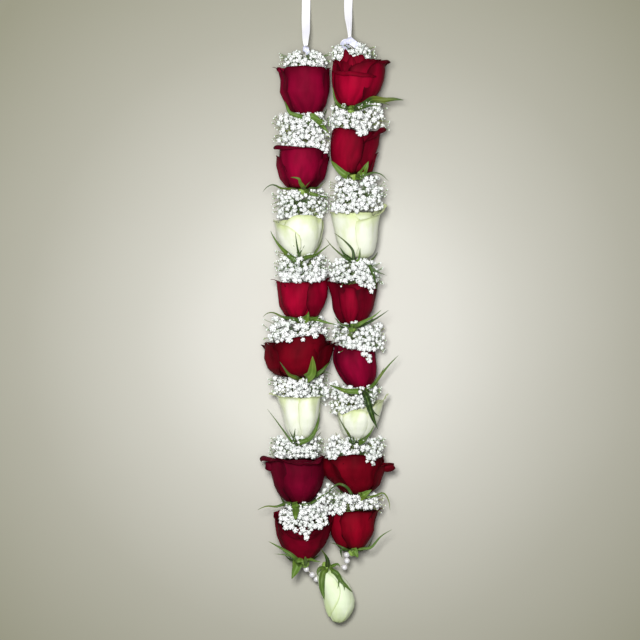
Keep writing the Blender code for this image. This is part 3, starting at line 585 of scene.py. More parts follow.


# Each petal's tone sets how dark it is: the petals at a head's sides get lower tones than the front one, painted shade
# where the head turns from the light.
HEADS = {
    "left_1": dict(c="red", tint="cool", shade=0.72, rows=[(117.5, 302, 311), (116, 296.5, 318), (111, 291, 323), (104, 286, 327), (92, 280.6, 329.7), (80, 282.2, 330), (68, 281, 329.5)],
                   petals=[P(94, 50, (0, 0.5, 0), 0.7, 90, tone=0.7), P(2, 80, (1.0, 0.4, 1.4), 0.0, 120, 2.0, slant=0.2, belly=0.8, tone=0.78), P(-84, 40, (-2, 0.6, -3), -0.4, 70, 3.6, 1.2, 0.3, (0.1, 0.8, 3.4), tone=0.62)]),
    "left_2": dict(c="red", tint="cool", shade=0.82, rows=[(189, 298, 307), (187, 287, 316), (179, 281, 323), (165, 278, 326.5), (155, 278.6, 328), (148, 279.5, 327.5)],
                   petals=[P(74, 44, (-1, -0.5, -1), 0.8, 100, tone=0.55), P(-8, 60, (2.0, 0.2, -0.6), -0.2, 225, 3.2, 0.7, 0.5, (-0.86, 0.5, 2.6), 1.2, 0.08, 1.0, fade=0.72), P(-76, 36, (-9, -8, -11), -0.9, 45, 3.0, 0.4, -0.3, None, 1.4, 0.3, 0.6), P(80, 34, (-10, -8, -9), -0.6, 70, 3.0, 0.6, 0.3, None, 1.6, 0.28, 0.56)]),
    "left_3": dict(c="white", shade=0.85, rows=[(258.5, 295, 305), (255, 287, 313), (247, 281.5, 317.6), (238, 277.5, 321), (228, 276, 322.9), (219, 276.5, 322)],
                   petals=[P(95, 45, (1, 1, 0), 1.0, 60), P(26, 70, (3.4, 3.0, 2.0), 0.3, 70, 2.2, belly=1.2), P(-52, 57, (1.6, -5, -8.5), -0.9, 70, 2.0, 0.6, -1.1, (-0.66, 1.4, 1.8), 1.4, 0.26, 0.95)]),
    "left_4": dict(c="red", tint="plain", shade=1.10, rows=[(319.5, 297, 307), (316.6, 285.5, 318), (306, 279.6, 324.6), (296.5, 278.4, 327.4), (288, 278, 327.8), (281, 279, 327)],
                   petals=[P(62, 52, (-1, 0.6, 4.0), 0.3, 100, 2.2, 0.3, 0.4, (0.7, 1.4, 0.8), 1.3, 0.16, 0.72), P(-20, 42, (-0.6, -1.8, -1.4), -0.2, 110, 2.2, 0.0, 0.6, None, 1.6, 0.10, 1.0), P(-82, 44, (0, 1.2, -1), 0.1, 80, 3.2, 0.9, -0.3, (0.0, 0.6, 3.0), 1.0, 0.16, 0.6)]),
    "left_5": dict(c="red", tint="warm", shade=0.37, rows=[(378, 292, 312), (375, 276, 321), (368.5, 269, 325), (358, 265.5, 329), (348, 267, 330.5), (341, 270, 331)],
                   petals=[P(4, 62, (1.0, 4.6, 8.0), 1.0, 70, 2.4, 0.0, 0.5, (0.75, 1.2, 0.8), 1.6, 0.14, 0.92), P(78, 40, (-4, -2.4, 0), -1.0, 60, 3.4, 1.8, 0.4, (0.1, 1.4, 1.6), 1.4, 0.2, 0.72), P(-80, 46, (-8, -1.5, -5), -1.0, 75, 3.4, 1.2, -0.4, (-0.5, 1.2, 2.4), 1.6, 0.16, 0.9, ragged=2.2)]),
    "left_6": dict(c="white", rows=[(441.5, 291, 303), (436, 289, 310), (427.8, 285.6, 315.4), (418, 283, 319), (406, 281, 319.6), (399, 280.5, 320)],
                   petals=[P(100, 44, 0.0, 1.0, 60), P(-50, 54, (5.2, 2.4, 1.2), 0.2, 110, 3.2, 2.4, 0.4, (-0.74, 1.2, 5.0), 1.0, 0.06, ragged=0.8), P(48, 54, (1.6, 2.2, 2.4), -0.6, 110, 2.6, 0.9, 1.0, None, 1.6, 0.08, ragged=0.6)]),
    "left_7": dict(c="red", tint="cool", shade=0.36, rows=[(504.2, 291, 305), (502, 286.2, 311), (495, 279, 317.4), (486, 274.6, 321.5), (473, 271.4, 325), (463, 270, 325.4), (458.5, 269, 325)],
                   petals=[P(76, 46, (1.5, 3.0, 2.6), 0.5, 90, 2.4, tone=0.6), P(6, 58, (1.6, -3.0, 0.4), -0.2, 160, 3.4, 0.3, 0.5, (0.55, 0.8, 1.4), 1.3, 0.12, 0.82, 1.0, 0.5), P(-70, 46, (1.2, 2.2, -1.5), 0.0, 200, 3.0, 1.4, -0.3, (-0.4, 1.2, 2.2), 1.2, 0.14, 0.7)]),
    "left_8": dict(c="red", tint="plain", shade=0.47, pitch=14, cut=[(-180, 0), (-90, -2), (-50, -9), (0, -18), (50, -9), (90, -2), (180, 0)],
                   rows=[(561, 300, 309), (558.5, 293, 313), (552, 285.5, 319), (543, 280.5, 325.6), (533, 277, 329.8), (522, 276, 331), (514, 276, 331)],
                   petals=[P(84, 46, (-8, -0.5, 0), 0.4, 70, 3.0, 0.8, tone=0.66), P(-84, 46, (0, -0.5, -8), 0.4, 70, 3.0, 0.8, -0.4, tone=0.66), P(0, 66, (-5.5, -16.5, -5.5), -0.3, 75, 2.6, 0.3, 0.3, None, 1.2, 0.08, 0.9)]),
    "right_1": dict(c="red", tint="plain", shade=1.12, rows=[(107.5, 347, 357), (106.6, 341, 364), (104.8, 337.6, 367.5), (101, 335.6, 371), (97, 334, 375), (90, 332.6, 380.5), (80, 332, 384), (70, 332.5, 385), (61, 334, 384)],
                    petals=[P(-34, 40, (-1.0, 6.6, -1.0), 0.0, 16, 2.2, 0.4, 0.4, (-0.16, 4.6, 1.0), 0.8, 0.20, 0.7, 0.84, 0.8), P(-64, 34, (-1.0, -0.6, -2.0), 0.0, 40, 2.2, 0.4, 0.4, (-0.1, 1.0, 1.2), 0.8, 0.2, 0.5, 0.9), P(-2, 50, (2.6, 4.0, 1.6), 0.0, 40, 2.2, 0, 0.4, (0.1, 1.6, 0.4), 0.8, 0.2, 0.85, 0.84, 0.7), P(42, 54, (2.6, 1.4, 0.5), 0.0, 60, 2.4, 0, 0.4, (0.45, 1.8, 0.8), 0.8, 0.24, 0.42, 0.88, 0.6),
                            P(-78, 44, (-2, 0.4, -4), 0.2, 70, 2.2, 0.0, -0.3, (0.2, 1.2, 0.4), corner=0.24, tone=0.6), P(64, 48, (-4, 0.2, -3.5), -0.3, 150, 3.2, 0.3, 0.3, (-0.35, 1.4, 0.6), 1.2, 0.22, 0.5), P(-12, 50, (-10.6, -12.4, -15.0), -0.9, 205, 2.9, 0.2, 0.3, None, 1.8, 0.10, 1.1)]),
    "right_2": dict(c="red", tint="plain", shade=0.78, rows=[(174.5, 347, 358), (172, 338, 371), (165, 333, 373), (155, 331, 375), (145, 330, 378.7), (135, 331, 379.6), (130.5, 332, 379.8)],
                    petals=[P(66, 50, (-9.5, 1.6, 2.6), 0.1, 215, 2.6, 0.2, 0.2, (0.2, 1.0, 0.2), 1.3, 0.14, 0.6), P(-38, 62, (0.2, 1.6, -1.8), -0.6, 90, 2.4, 0.0, -0.3, (0.45, 1.0, 0.4), 1.3, 0.14, 0.95), P(90, 34, (-27, -22, -24), -0.9, 50, 2.4, 0.4, 0.3, None, 1.2, 0.3, 0.5)]),
    "right_3": dict(c="white", shade=0.85, rows=[(260, 349, 359), (257.6, 345, 367.5), (254.5, 342.6, 372), (249, 340, 375), (240.5, 336.6, 377), (228, 334, 377.8), (217, 332, 379), (211, 332, 381)],
                    petals=[P(-52, 66, (-0.5, -2.2, -3.0), 0.4, 70, 2.2, 0.3, 0.3, (-0.5, 1.0, 0.6), 1.0, 0.14, 0.8), P(104, 40, (2, 2, 2), 0.8, 60), P(52, 54, (-9.0, -3.6, 6.0), -1.1, 110, 2.5, 0.8, 1.6, (0.85, 1.6, 2.8), 1.5, 0.08, 0.98)]),
    "right_4": dict(c="red", tint="plain", shade=0.67, rows=[(325, 347, 357), (323, 340.4, 364), (317, 336, 369), (308.6, 333, 373.6), (301, 332, 375.6), (290, 330.5, 377.5), (283, 329, 377.7)],
                    petals=[P(52, 54, (-4.5, -7.0, -8.5), 0.5, 90, 2.2, tone=0.46), P(-66, 50, (0, 1.6, -1.0), 0.1, 75, 3.8, 1.2, -0.3, (-0.2, 0.8, 3.0), 1.1, 0.16, 0.46), P(-10, 30, (-3, -4.4, -6), -0.5, 80, 2.2, 0, 0.4, None, 1.8, 0.16, 1.0)]),
    "right_5": dict(c="red", tint="cool", shade=0.64, rows=[(389.5, 356, 368), (387.5, 349, 371.4), (383, 344, 374), (376, 339, 376.3), (368.6, 335.4, 377), (362, 333, 376.8), (354, 333.5, 376), (349, 335, 375.5)],
                    petals=[P(78, 46, (-3, -2, -1), 0.5, 90, 2.2, tone=0.55), P(-72, 44, (2, 4.0, 1.0), 0.4, 60, 2.6, 0.2, -0.3, (0.0, 1.0, 0.8), 1.0, 0.2, 0.5), P(2, 62, (4.0, -1.0, -5.0), -0.3, 80, 2.2, 0, 0.3, (-0.8, 1.6, 0.8), 1.8, 0.12, 1.0)]),
    "right_6": dict(c="white", cut=[(-180, 0), (-90, -13), (-40, -12), (20, -11), (60, -3), (90, 2), (180, 0)],
                    rows=[(441.5, 350, 362), (438, 347, 366), (434.6, 343, 370.5), (427, 339.4, 375.5), (421, 337.6, 378.5), (410, 337, 382), (401, 337, 384)],
                    petals=[P(66, 48, (-5, 2, 7.5), 0.3, 80, 3.0, 0.8, 0.4, (0.7, 1.6, 2.0), 1.2, 0.16), P(-66, 46, (-13.5, -13, -12), 0.2, 70, 2.4, 0.3, -0.3), P(-4, 44, (-10, -9, -10.5), -0.5, 70, 2.2, 0.0, 0.4, None, 1.6, 0.16)]),
    "right_7": dict(c="red", tint="warm", shade=0.36, rows=[(495.3, 350, 364), (492, 343, 372), (485, 336, 379), (476, 326, 381.7), (468, 322.6, 384), (460, 323, 384), (457, 324, 383)],
                    petals=[P(2, 60, (0.0, 3.0, -2.0), 0.4, 80, 2.4, 0, 0.4, (0.1, 1.0, 0.4), 1.6, 0.14, 0.95), P(-74, 48, (2.0, 0.6, -4.0), -0.5, 60, 4.0, 1.0, -0.4, None, 1.4, 0.16, 0.72), P(78, 34, (-9, -7.0, -10), -0.6, 95, 2.8, 1.2, 0.3, (0.0, 0.3, 1.5), 1.0, 0.16, 0.66)]),
    "right_8": dict(c="red", tint="warm", shade=0.73, rows=[(549.5, 345, 360), (547, 337.5, 365.4), (536, 331.6, 372), (531, 330.4, 374), (520.7, 328.4, 374.6), (512, 329.6, 376), (510, 331, 376)],
                    petals=[P(84, 42, (-2, 1.0, -1), 0.4, 60, 4.0, 1.2, 0.4, (0.0, 0.6, 3.2), 1.0, 0.16, 0.6), P(-58, 56, (0, -1.0, -1.0), 0.2, 120, 2.4, 0.3, -0.3, None, 1.2, 0.12, 0.72), P(26, 58, (-1.6, -1.2, -0.4), -0.3, 100, 2.3, 0, 0.4, None, 1.6, 0.12, 0.98)]),
}
BLOOM_SIDES, MOST_Z = 12, 25.0


class Head:
    def __init__(self, name, spec):
        self.name, self.colour, self.spec = name, spec["c"], spec
        rows = np.array(spec["rows"], float)
        self.base_y, self.rim_y = rows[0, 0], rows[-1, 0]
        self.S = abs(self.base_y - self.rim_y)
        self.down = -1.0 if self.rim_y < self.base_y else 1.0
        self.s_rows = np.abs(rows[:, 0] - self.base_y)
        self.half_rows, self.mid_rows = (rows[:, 2] - rows[:, 1]) / 2, (rows[:, 2] + rows[:, 1]) / 2
        widest = self.half_rows.max()
        self.z = spec.get("z", min(MOST_Z, widest * math.cos(math.pi / BLOOM_SIDES) - 0.3))
        self.pitch, self.least = math.radians(spec.get("pitch", 0.0)), spec.get("least", 1.6)
        self.cut_at, self.cut_by = np.array(spec.get("cut", [(-180, 0), (180, 0)]), float).T

    def cut(self, theta):
        """How much lower the rim is there than its last row."""
        return np.interp((np.degrees(theta) + 180) % 360 - 180, self.cut_at, self.cut_by)

    def local(self, p):
        """Sheet points in the head's own coordinates: up the axis, off it, and round it."""
        y, z = p[:, 1] - self.base_y, p[:, 2] - self.z
        if self.pitch:
            c, q = math.cos(self.pitch), math.sin(self.pitch)
            y, z = y * c - z * q, y * q + z * c
        s = y * self.down
        x = p[:, 0] - self.middle(s)
        return s, np.hypot(x, z), np.arctan2(x, z)

    def radius(self, s):
        return np.interp(s, self.s_rows, self.half_rows)

    def middle(self, s):
        slope = (self.mid_rows[-1] - self.mid_rows[0]) / self.S
        x = np.interp(s, self.s_rows, self.mid_rows)
        x = np.where(s < 0, self.mid_rows[0] + slope * s, x)
        return np.where(s > self.S, self.mid_rows[-1] + slope * (s - self.S), x)

    def place(self, s, r, theta):
        """Sheet points from the head's own cylinder coordinates."""
        x = self.middle(s) + r * np.sin(theta)
        y = self.base_y + self.down * s
        z = self.z + r * np.cos(theta)
        if self.pitch:
            c, q = math.cos(self.pitch), math.sin(self.pitch)
            dy, dz = (y - self.base_y) * 1.0, z - self.z
            y, z = self.base_y + dy * c + dz * q, self.z + dz * c - dy * q
        return self.rest(np.stack([x, y, z], -1))

    def rest(self, p):
        """Petals flatten where the head's weight rests on the floor."""
        z = p[..., 2]
        p[..., 2] = np.where(z < 3.0, 0.25 + 2.75 * np.exp(np.minimum(z - 3.0, 0) / 2.75), z)
        return p


def petal(b, h, rng, spec, nu, nv, slot=0, foot=0.0, wave=0.5, width_foot=0.5):
    u = np.linspace(-1, 1, nu + 1)
    v = 1 - (1 - np.linspace(0, 1, nv + 1)) ** 1.3
    U, V = np.meshgrid(u, v)
    theta, half, roll = math.radians(spec["at"]), math.radians(spec["half"]), math.radians(max(spec["roll"], 4.0))
    rho, (left, mid_rim, right) = spec["rho"], spec["rim"]
    curve = 0.5 * (right + left) - mid_rim
    rim = mid_rim + 0.5 * (right - left) * U / 0.8 + curve * (U / 0.8) ** 2
    start = h.S + rim - rho * math.sin(min(roll, math.pi / 2))
    roll = roll * (1 - abs(spec["fade"]) * sstep(0.5 + 0.5 * U * np.sign(spec["fade"] or 1.0)))
    total = start + rho * roll
    side = np.abs(U)
    m = foot + (total - foot) * V * (1 - spec["corner"] * side**2.8)
    out_tip = 0.0
    if spec["tip"] is not None:
        place, up, out = spec["tip"]
        m = m + (up + 1.2) * np.exp(-(((U - place) / 0.17) ** 2)) * V**7
        out_tip = out * np.exp(-(((U - place) / 0.36) ** 2)) * V**5
    if spec["ragged"]:
        m = m - spec["ragged"] * V**9 * (1.2 * np.abs(np.sin(U * 9.0 + 1.0)) ** 5 + 0.8 * np.abs(np.sin(U * 23.0)) ** 7)
    phi = np.minimum(np.clip(m - start, 0, None) / rho, roll * 1.15)
    past = np.clip(m - start - rho * phi, 0, None)  # what reaches past the roll goes on straight
    body = np.minimum(m, start)
    s = body + rho * np.sin(phi) + past * np.cos(phi)
    ph = rng.uniform(0, 6.28, 6)
    r = h.radius(body) * spec["radial"] - spec["inset"]
    r = r + rho * (1 - np.cos(phi)) + past * np.sin(phi) + spec["flare"] * sstep((V - 0.5) / 0.5) * np.cos(U * 1.0) + out_tip
    r = r + spec["belly"] * (0.6 - side**2) * np.sin(np.pi * np.clip(V * 1.05, 0, 1)) * 0.8
    r = r - spec["slant"] * U * sstep(V * 3)
    ripple = wave * V**3 * (np.sin(U * 4.3 + ph[0]) + 0.55 * np.sin(U * 9.7 + ph[1]) + 0.3 * np.sin(U * 17 + ph[4]) * V**3)
    dents = 0.55 * np.sin(V * 5.2 + U * 2.3 + ph[2]) * np.cos(U * 3.9 + ph[3]) + 0.16 * np.sin(U * 10 + V * 2 + ph[5]) * V
    dents = dents + 0.30 * np.sin(U * 6.6 + 2 * ph[0]) * V
    r = np.maximum(r + ripple + dents * sstep(V * 2.5), h.least)
    s = s + 0.5 * ripple
    spread = (width_foot + (1 - width_foot) * sstep(V / 0.5)) * (1 - 0.06 * sstep((V - 0.8) / 0.2))
    th = theta + U * half * spread
    mid = h.place(s, r, th)
    n = grid_normals(mid)
    centre = h.place(s, r * 0.2, th)
    flip = np.sum(n * (mid - centre)) < 0
    if flip:
        n = -n
    thick = 0.42 * (1 - 0.7 * V**2) * (1 - 0.5 * side**3)
    uv = np.stack([U * 0.5 + 0.5, V], -1)
    points, quads, uv = closed_sheet(mid, mid - n * (thick + 0.12)[..., None], uv)
    if flip:
        quads = quads[:, ::-1]
    points[:, 2] = np.maximum(points[:, 2], 0.12)
    b.add(points, quads, uv=uv, tone=spec["tone"], slot=slot)


def rolled_lobe(b, path, start_r, end_r, tone, turn=0.0, arc=5.2):
    """A petal's edge rolled up into an open tube, as a closed thin sheet along a sheet path."""
    path = smooth_path(path, 14)
    t = unit(np.gradient(path, axis=0))
    u = unit(np.cross(np.broadcast_to([0.0, 0.0, 1.0], t.shape), t))
    w = np.cross(t, u)
    x = np.linspace(0, 1, len(path))
    k = turn + np.linspace(0, arc, 20)
    radius = (start_r + (end_r - start_r) * x**1.6 + 0.25 * np.sin(x * 9)) * (1 - 0.42 * np.clip((x - 0.62) / 0.38, 0, 1) ** 2)
    radius = radius[:, None] * (1 + 0.10 * np.sin(2.3 * k + 1.0) - 0.22 * np.linspace(0, 1, 20))[None, :]
    way = np.cos(k)[None, :, None] * u[:, None] + np.sin(k)[None, :, None] * w[:, None]
    tip = t[:, None] * (0.5 * np.sin(2 * k + 0.6)[None, :, None]) * (x**4)[:, None, None]
    outer = path[:, None] + way * radius[..., None] + tip
    inner = path[:, None] + way * (radius - 0.5)[..., None] + tip
    uv = np.stack(np.broadcast_arrays(np.linspace(0.2, 0.8, 20)[None, :], (0.35 + 0.65 * x)[:, None]), -1)
    points, quads, uv = closed_sheet(outer, inner, uv)
    b.add(points, quads, uv=uv, tone=tone)


LOBES = {  # rims rolled into open tubes that stand out sideways: path, radius at its start and end, turn
    "right_7": [([(373, 464.8, 32), (381, 467.2, 30.5), (388.5, 467.6, 29.5), (394.4, 466.4, 28.5)], 4.8, 5.0, 3.4)],
    "left_7": [([(281, 465.4, 33), (273, 466.4, 31.5), (265.6, 465.6, 30.5)], 4.8, 5.4, 0.4)],
    "left_1": [([(286, 71.5, 30), (281, 70.4, 29.5), (277.2, 68.6, 29)], 2.9, 2.3, 0.4)],
}


def make_head(name, spec):
    h = Head(name, spec)
    rng = np.random.default_rng(sum(ord(c) * (i + 3) for i, c in enumerate(name)))
    b = Build()
    shade = spec.get("shade", 1.0)
    for p in spec["petals"]:
        petal(b, h, rng, {**p, "tone": p["tone"] * shade}, 28, 24, wave=0.75, width_foot=0.64)
    for path, start_r, end_r, turn in LOBES.get(name, []):
        rolled_lobe(b, path, start_r, end_r, 0.62 * shade, turn)
    for theta in (140, 190, 238):  # the guard petals on the side that it rests on
        petal(b, h, rng, P(theta + rng.uniform(-6, 6), rng.uniform(50, 60), rng.uniform(-2, 1), 0.3, rng.uniform(80, 150), 2.3, 0.4, rng.choice([-0.5, 0.5]), tone=rng.uniform(0.5, 0.9)), 16, 14)
    # The inner rows get lower tones than the outer petals, and the heart darker with each turn: painted shade deeper in
    # the cup.
    for k in range(5):  # the second row
        theta = k * 72 + rng.uniform(0, 40)
        lower = float(h.cut(math.radians(theta)))
        petal(b, h, rng, P(theta, rng.uniform(48, 56), rng.uniform(-2.4, -0.6) + lower, 1.7 + 0.2 * k, rng.uniform(50, 110), 1.9, tone=rng.uniform(0.4, 0.75) * shade), 14, 12, wave=0.4, width_foot=0.86)
    for k in range(11):  # the heart, wound tighter and tighter
        theta = k * 137.5 + rng.uniform(-12, 12)
        lower = float(h.cut(math.radians(theta))) * (1 - 0.06 * k)
        petal(b, h, rng, P(theta, rng.uniform(62, 84), -2.4 + 0.12 * k + lower, 0.0, rng.uniform(8, 50), 1.5, radial=0.80 - 0.066 * k, tone=0.6 - 0.02 * k, belly=0.3), 10, 8, foot=h.S * 0.45, wave=0.35, width_foot=0.7)
    return h, b


heads, bloom_builds = {}, {}
for name, spec in HEADS.items():
    heads[name], bloom_builds[name] = make_head(name, spec)

BUD = dict(c="bud", z=16.4, least=0.35, rows=[(569.5, 322, 333), (573, 318.0, 338.5), (577.5, 316.8, 343), (584, 318.0, 348.4), (592, 320.6, 352.6), (601, 323.2, 355.2), (608, 325.2, 354.6), (613, 327, 352.4), (618, 329.8, 348.8), (621.5, 332.6, 345.2), (623.4, 335.2, 341.4), (624.0, 337.2, 338.8)],
           petals=[])
heads["bud"] = bud = Head("bud", BUD)


def make_bud(h):
    rng = np.random.default_rng(5)
    b = Build()
    for k in range(4):
        closing(b, h, rng, P(k * 137.5 + 60, 84, -2.0, 2.4 + 1.5 * k, 4, 2.0, tone=0.7, belly=0.2, corner=0.04), 12, 14)
    for theta, half, rim, inset, slant, tone in ((150, 62, -1.0, 0.7, 0.4, 0.8), (218, 62, -1.0, 0.6, 0.5, 0.7), (-96, 60, -0.8, 0.5, -0.3, 0.75), (92, 62, -0.6, 0.4, 0.4, 0.85)):
        closing(b, h, rng, P(theta, half, rim, inset, 4, 2.0, 0.0, slant, None, 0.8, 0.05, tone), 22, 26)
    closing(b, h, rng, P(26, 88, (-0.5, -0.2, -0.2), 0.05, 4, 2.0, 0.0, 0.3, None, 1.0, 0.03, 1.0), 30, 28)
    closing(b, h, rng, P(-44, 64, (-7.5, -9.0, -26.0), -0.6, 14, 2.0, 0.0, -0.9, None, 1.0, 0.05, 0.86), 28, 28)
    return b


def closing(b, h, rng, spec, nu, nv):
    """A bud's petal: it follows the rows and closes over the tip."""
    petal(b, h, rng, spec, nu, nv, wave=0.16, width_foot=0.55)


bloom_builds["bud"] = make_bud(bud)

# ---------------------------------------------------------------- baby's breath
CLUSTERS = {  # each spray on the sheet: left, right, top, bottom, and its florets' radius
    "left": [(282, 329, 50, 68, 2.6), (276, 329, 114, 147, 3.1), (275, 327, 189, 216, 2.45), (277, 327, 250, 282, 2.8), (267, 327, 318, 346, 3.6), (272, 326, 374, 399, 2.8), (272, 321.5, 437, 459, 2.75), (281, 327, 504, 537, 2.95)],
    "right": [(332, 373, 44, 62, 2.6), (327, 385.5, 105, 133, 3.3), (331, 384.5, 177, 214, 2.85), (326, 379.5, 260, 291, 2.75), (329, 383.5, 323, 355, 2.65), (330, 379, 386, 415, 2.75), (325, 383.5, 436, 463, 2.9), (330, 381.5, 494, 514, 2.75)],
}
# Where a spray's florets hang over the rim under it: sheet x, lowest sheet y, half width.
HANGS = {
    "left_2": [(325, 152.5, 4), (315, 149, 4)], "left_4": [(286, 283, 5), (298, 284, 6), (311, 282.6, 6), (320, 282, 4)], "left_5": [(280, 344.5, 4), (291, 343.6, 5), (303, 341.6, 5.5), (314, 337.6, 4)], "left_7": [(281, 461, 4)],
    "right_2": [(361.5, 137, 4.5)], "right_3": [(345, 215, 8), (338, 214, 6), (357, 212.5, 6), (367, 209.5, 5)], "right_4": [(364, 287, 7), (370.5, 292.5, 4.5)],
    "right_5": [(352, 350, 8), (364, 356, 7), (368.5, 361.5, 3.5)], "right_7": [(371, 465, 5.5), (333, 460.5, 6)], "right_8": [(332, 514.5, 6), (341, 512.5, 5)],
}
# Where the spray leaves the hip over it, or a petal, in sight: sheet x, y and half sizes.
HIP_SEEN = {
    "right_1": (347.0, 58.5, 4.5, 4.5),
    "right_2": (352.0, 110.0, 7.0, 5.0), "right_5": (351.6, 328.0, 5.5, 4.5), "left_3": (303.0, 190.5, 4.5, 3.5), "right_6": (366.0, 391.5, 6.0, 3.5),
    "right_3": (354.5, 178.0, 6.0, 4.0), "left_8": (295.6, 509.0, 5.2, 8.5), "left_5": (307.0, 318.0, 5.5, 4.0), "right_8": (366.0, 494.0, 7.0, 3.5),
}
# Florets on long stalks between the strands: the middle of each lot and its radius.
ASTRAY = {
    "right_8": [(331.5, 490, 30, 6.5), (328, 498.5, 31, 6.0)], "left_8": [(322, 499, 33, 5.0)], "left_6": [(324, 402.5, 28, 4.0), (325.5, 392, 28, 5.0)],
    "right_5": [(381, 341, 27, 4.5)], "right_6": [(334, 386, 26, 5.0)],
}
PARTING = [(40, 331), (95, 331.5), (150, 330), (200, 328.5), (235, 327.2), (300, 328.0), (345, 332.2), (375, 329), (410, 328), (462, 325), (500, 326.5), (535, 331), (560, 328)]


def closed_ball(radius, flat, rng):
    """A small faceted ball of 42 points: the floret's packed middle."""
    t = (1 + 5 ** 0.5) / 2
    v = [(-1, t, 0), (1, t, 0), (-1, -t, 0), (1, -t, 0), (0, -1, t), (0, 1, t), (0, -1, -t), (0, 1, -t), (t, 0, -1), (t, 0, 1), (-t, 0, -1), (-t, 0, 1)]
    f = [(0, 11, 5), (0, 5, 1), (0, 1, 7), (0, 7, 10), (0, 10, 11), (1, 5, 9), (5, 11, 4), (11, 10, 2), (10, 7, 6), (7, 1, 8), (3, 9, 4), (3, 4, 2), (3, 2, 6), (3, 6, 8), (3, 8, 9), (4, 9, 5), (2, 4, 11), (6, 2, 10), (8, 6, 7), (9, 8, 1)]
    p = unit(np.array(v, float)) * radius * rng.uniform(0.88, 1.12, (12, 1))
    p[:, 2] = p[:, 2] * flat + 0.14
    return p, np.array(f)


def floret_shape(rng, rows=((6, 2, 1.0, 0.78), (5, 33, 0.98, 0.74), (3, 60, 0.92, 0.66))):
    """One double floret of unit radius looking up +Z: points, tris, uv (v runs from its heart to a petal's tip)."""
    points, tris, uv = [], [], []
    ball, faces = closed_ball(0.60, 0.85, rng)
    points += list(ball)
    tris += faces.tolist()
    uv += [(0.5, 0.85)] * len(ball)
    for count, lift, reach, wide in rows:
        turn = rng.uniform(0, 6.28)
        for i in range(count):
            a = turn + 2 * math.pi * i / count + rng.uniform(-0.25, 0.25)
            e = math.radians(lift + rng.uniform(-10, 10))
            r = reach * rng.uniform(0.86, 1.08)
            w = wide * rng.uniform(0.85, 1.12)
            out = np.array([math.cos(a) * math.cos(e), math.sin(a) * math.cos(e), math.sin(e)])
            side = np.array([-math.sin(a), math.cos(a), 0.0])
            up = np.cross(out, side)
            curl = rng.uniform(-0.10, 0.16)
            rim = [(0.25, 0.0, 0.0), (0.62, -1.0, 0.04), (0.98, -0.62, 0.0), (1.0, 0.58, 0.0), (0.62, 1.0, 0.04)]
            start = len(points)
            for along, across, h in rim:
                points.append(out * (r * along) + side * (0.5 * w * across) + up * (h + curl * along * along))
                uv.append((0.5 + 0.5 * across, along))
            points.append(out * (r * 0.72) + up * (0.10 + curl * 0.5))
            uv.append((0.5, 0.8))
            points.append(out * (r * 0.70) + up * (-0.03 + curl * 0.5))
            uv.append((0.5, 0.7))
            for k in range(5):
                nk = (k + 1) % 5
                tris.append((start + k, start + nk, start + 5))
                tris.append((start + nk, start + k, start + 6))
    return np.array(points), np.array(tris), np.array(uv)


def cup_shape():
    """The floret's green cup under it: a little cone, with unit floret radius."""
    k = 2 * np.pi * np.arange(5) / 5
    rings = []
    for z, r in ((-0.52, 0.12), (-0.05, 0.44)):
        rings.append(np.stack([r * np.cos(k), r * np.sin(k), np.full(5, z)], -1))
    points = np.concatenate([np.concatenate(rings), [[0, 0, -0.56], [0, 0, 0.0]]])
    index = np.arange(10).reshape(2, 5)
    nxt = np.roll(index, -1, axis=1)
    quads = np.stack([index[:-1], nxt[:-1], nxt[1:], index[1:]], -1).reshape(-1, 4)
    tris = np.concatenate([np.stack([nxt[0], index[0], np.full(5, 10)], -1), np.stack([index[1], nxt[1], np.full(5, 11)], -1)])
    return points, quads, tris


def bud_shape():
    """An unopened floret of unit length, looking up +Z: the white tip and its green cup."""
    k = 2 * np.pi * np.arange(6) / 6
    out = []
    for rows in (((0.1, 0.30), (0.45, 0.46), (0.8, 0.30)), ((-0.1, 0.16), (0.15, 0.36), (0.42, 0.44))):
        n = len(rows)
        pts = np.concatenate([np.stack([r * np.cos(k), r * np.sin(k), np.full(6, z)], -1) for z, r in rows] + [[[0, 0, rows[0][0] - 0.06], [0, 0, rows[-1][0] + 0.12]]])
        index = np.arange(n * 6).reshape(n, 6)
        nxt = np.roll(index, -1, axis=1)
        quads = np.stack([index[:-1], nxt[:-1], nxt[1:], index[1:]], -1).reshape(-1, 4)
        tris = np.concatenate([np.stack([nxt[0], index[0], np.full(6, n * 6)], -1), np.stack([index[-1], nxt[-1], np.full(6, n * 6 + 1)], -1)])
        out.append((pts, quads, tris))
    return out


shape_rng = np.random.default_rng(11)
FLORETS = [floret_shape(shape_rng) for _ in range(8)]
UNDER_FLORETS = [floret_shape(shape_rng, ((5, 8, 1.0, 0.74), (4, 42, 0.96, 0.66))) for _ in range(4)]
CUP, SMALL_BUD = cup_shape(), bud_shape()


def turn_to(direction, spin):
    d = direction / np.linalg.norm(direction)
    x = np.cross([0.3, 0.2, 1.0] if abs(d[2]) < 0.8 else [1.0, 0.1, 0.0], d)
    x = x / np.linalg.norm(x)
    y = np.cross(d, x)
    c, s = math.cos(spin), math.sin(spin)
    return np.stack([x * c + y * s, y * c - x * s, d], axis=1)  # columns


def parting(y):
    return np.interp(y, [a for a, _ in PARTING], [b for _, b in PARTING])


def outside(h, p, clear):
    """Which sheet points p are at least clear mm off a head's side and hip."""
    s, r, theta = h.local(p)
    top = h.S + h.cut(theta)
    reach = np.where(s < 0, np.interp(s, [-9, -7.4, -5, -1, 0], [0, 3.2, 4.6, 5.0, 5.0]), h.radius(np.clip(s, 0, h.S)))
    near = (s > -9 - clear) & (s < top + clear)
    return ~near | (r > reach + clear)


def above_rim(h, p, r_floret, droop):
    """Over the cup's rim, down inside its mouth, or hanging a little over the rim's outside."""
    s, r, theta = h.local(p)
    top = h.S + h.cut(theta)
    share = r / h.radius(h.S)
    sink = np.interp(share, [0, 0.5, 0.8, 0.96], [-3.0, -2.0, 0.0, 0.8])
    over = (share > 1.0) & (s > top + 0.5 - droop)
    return (s > top + sink + 0.1 * r_floret) | over


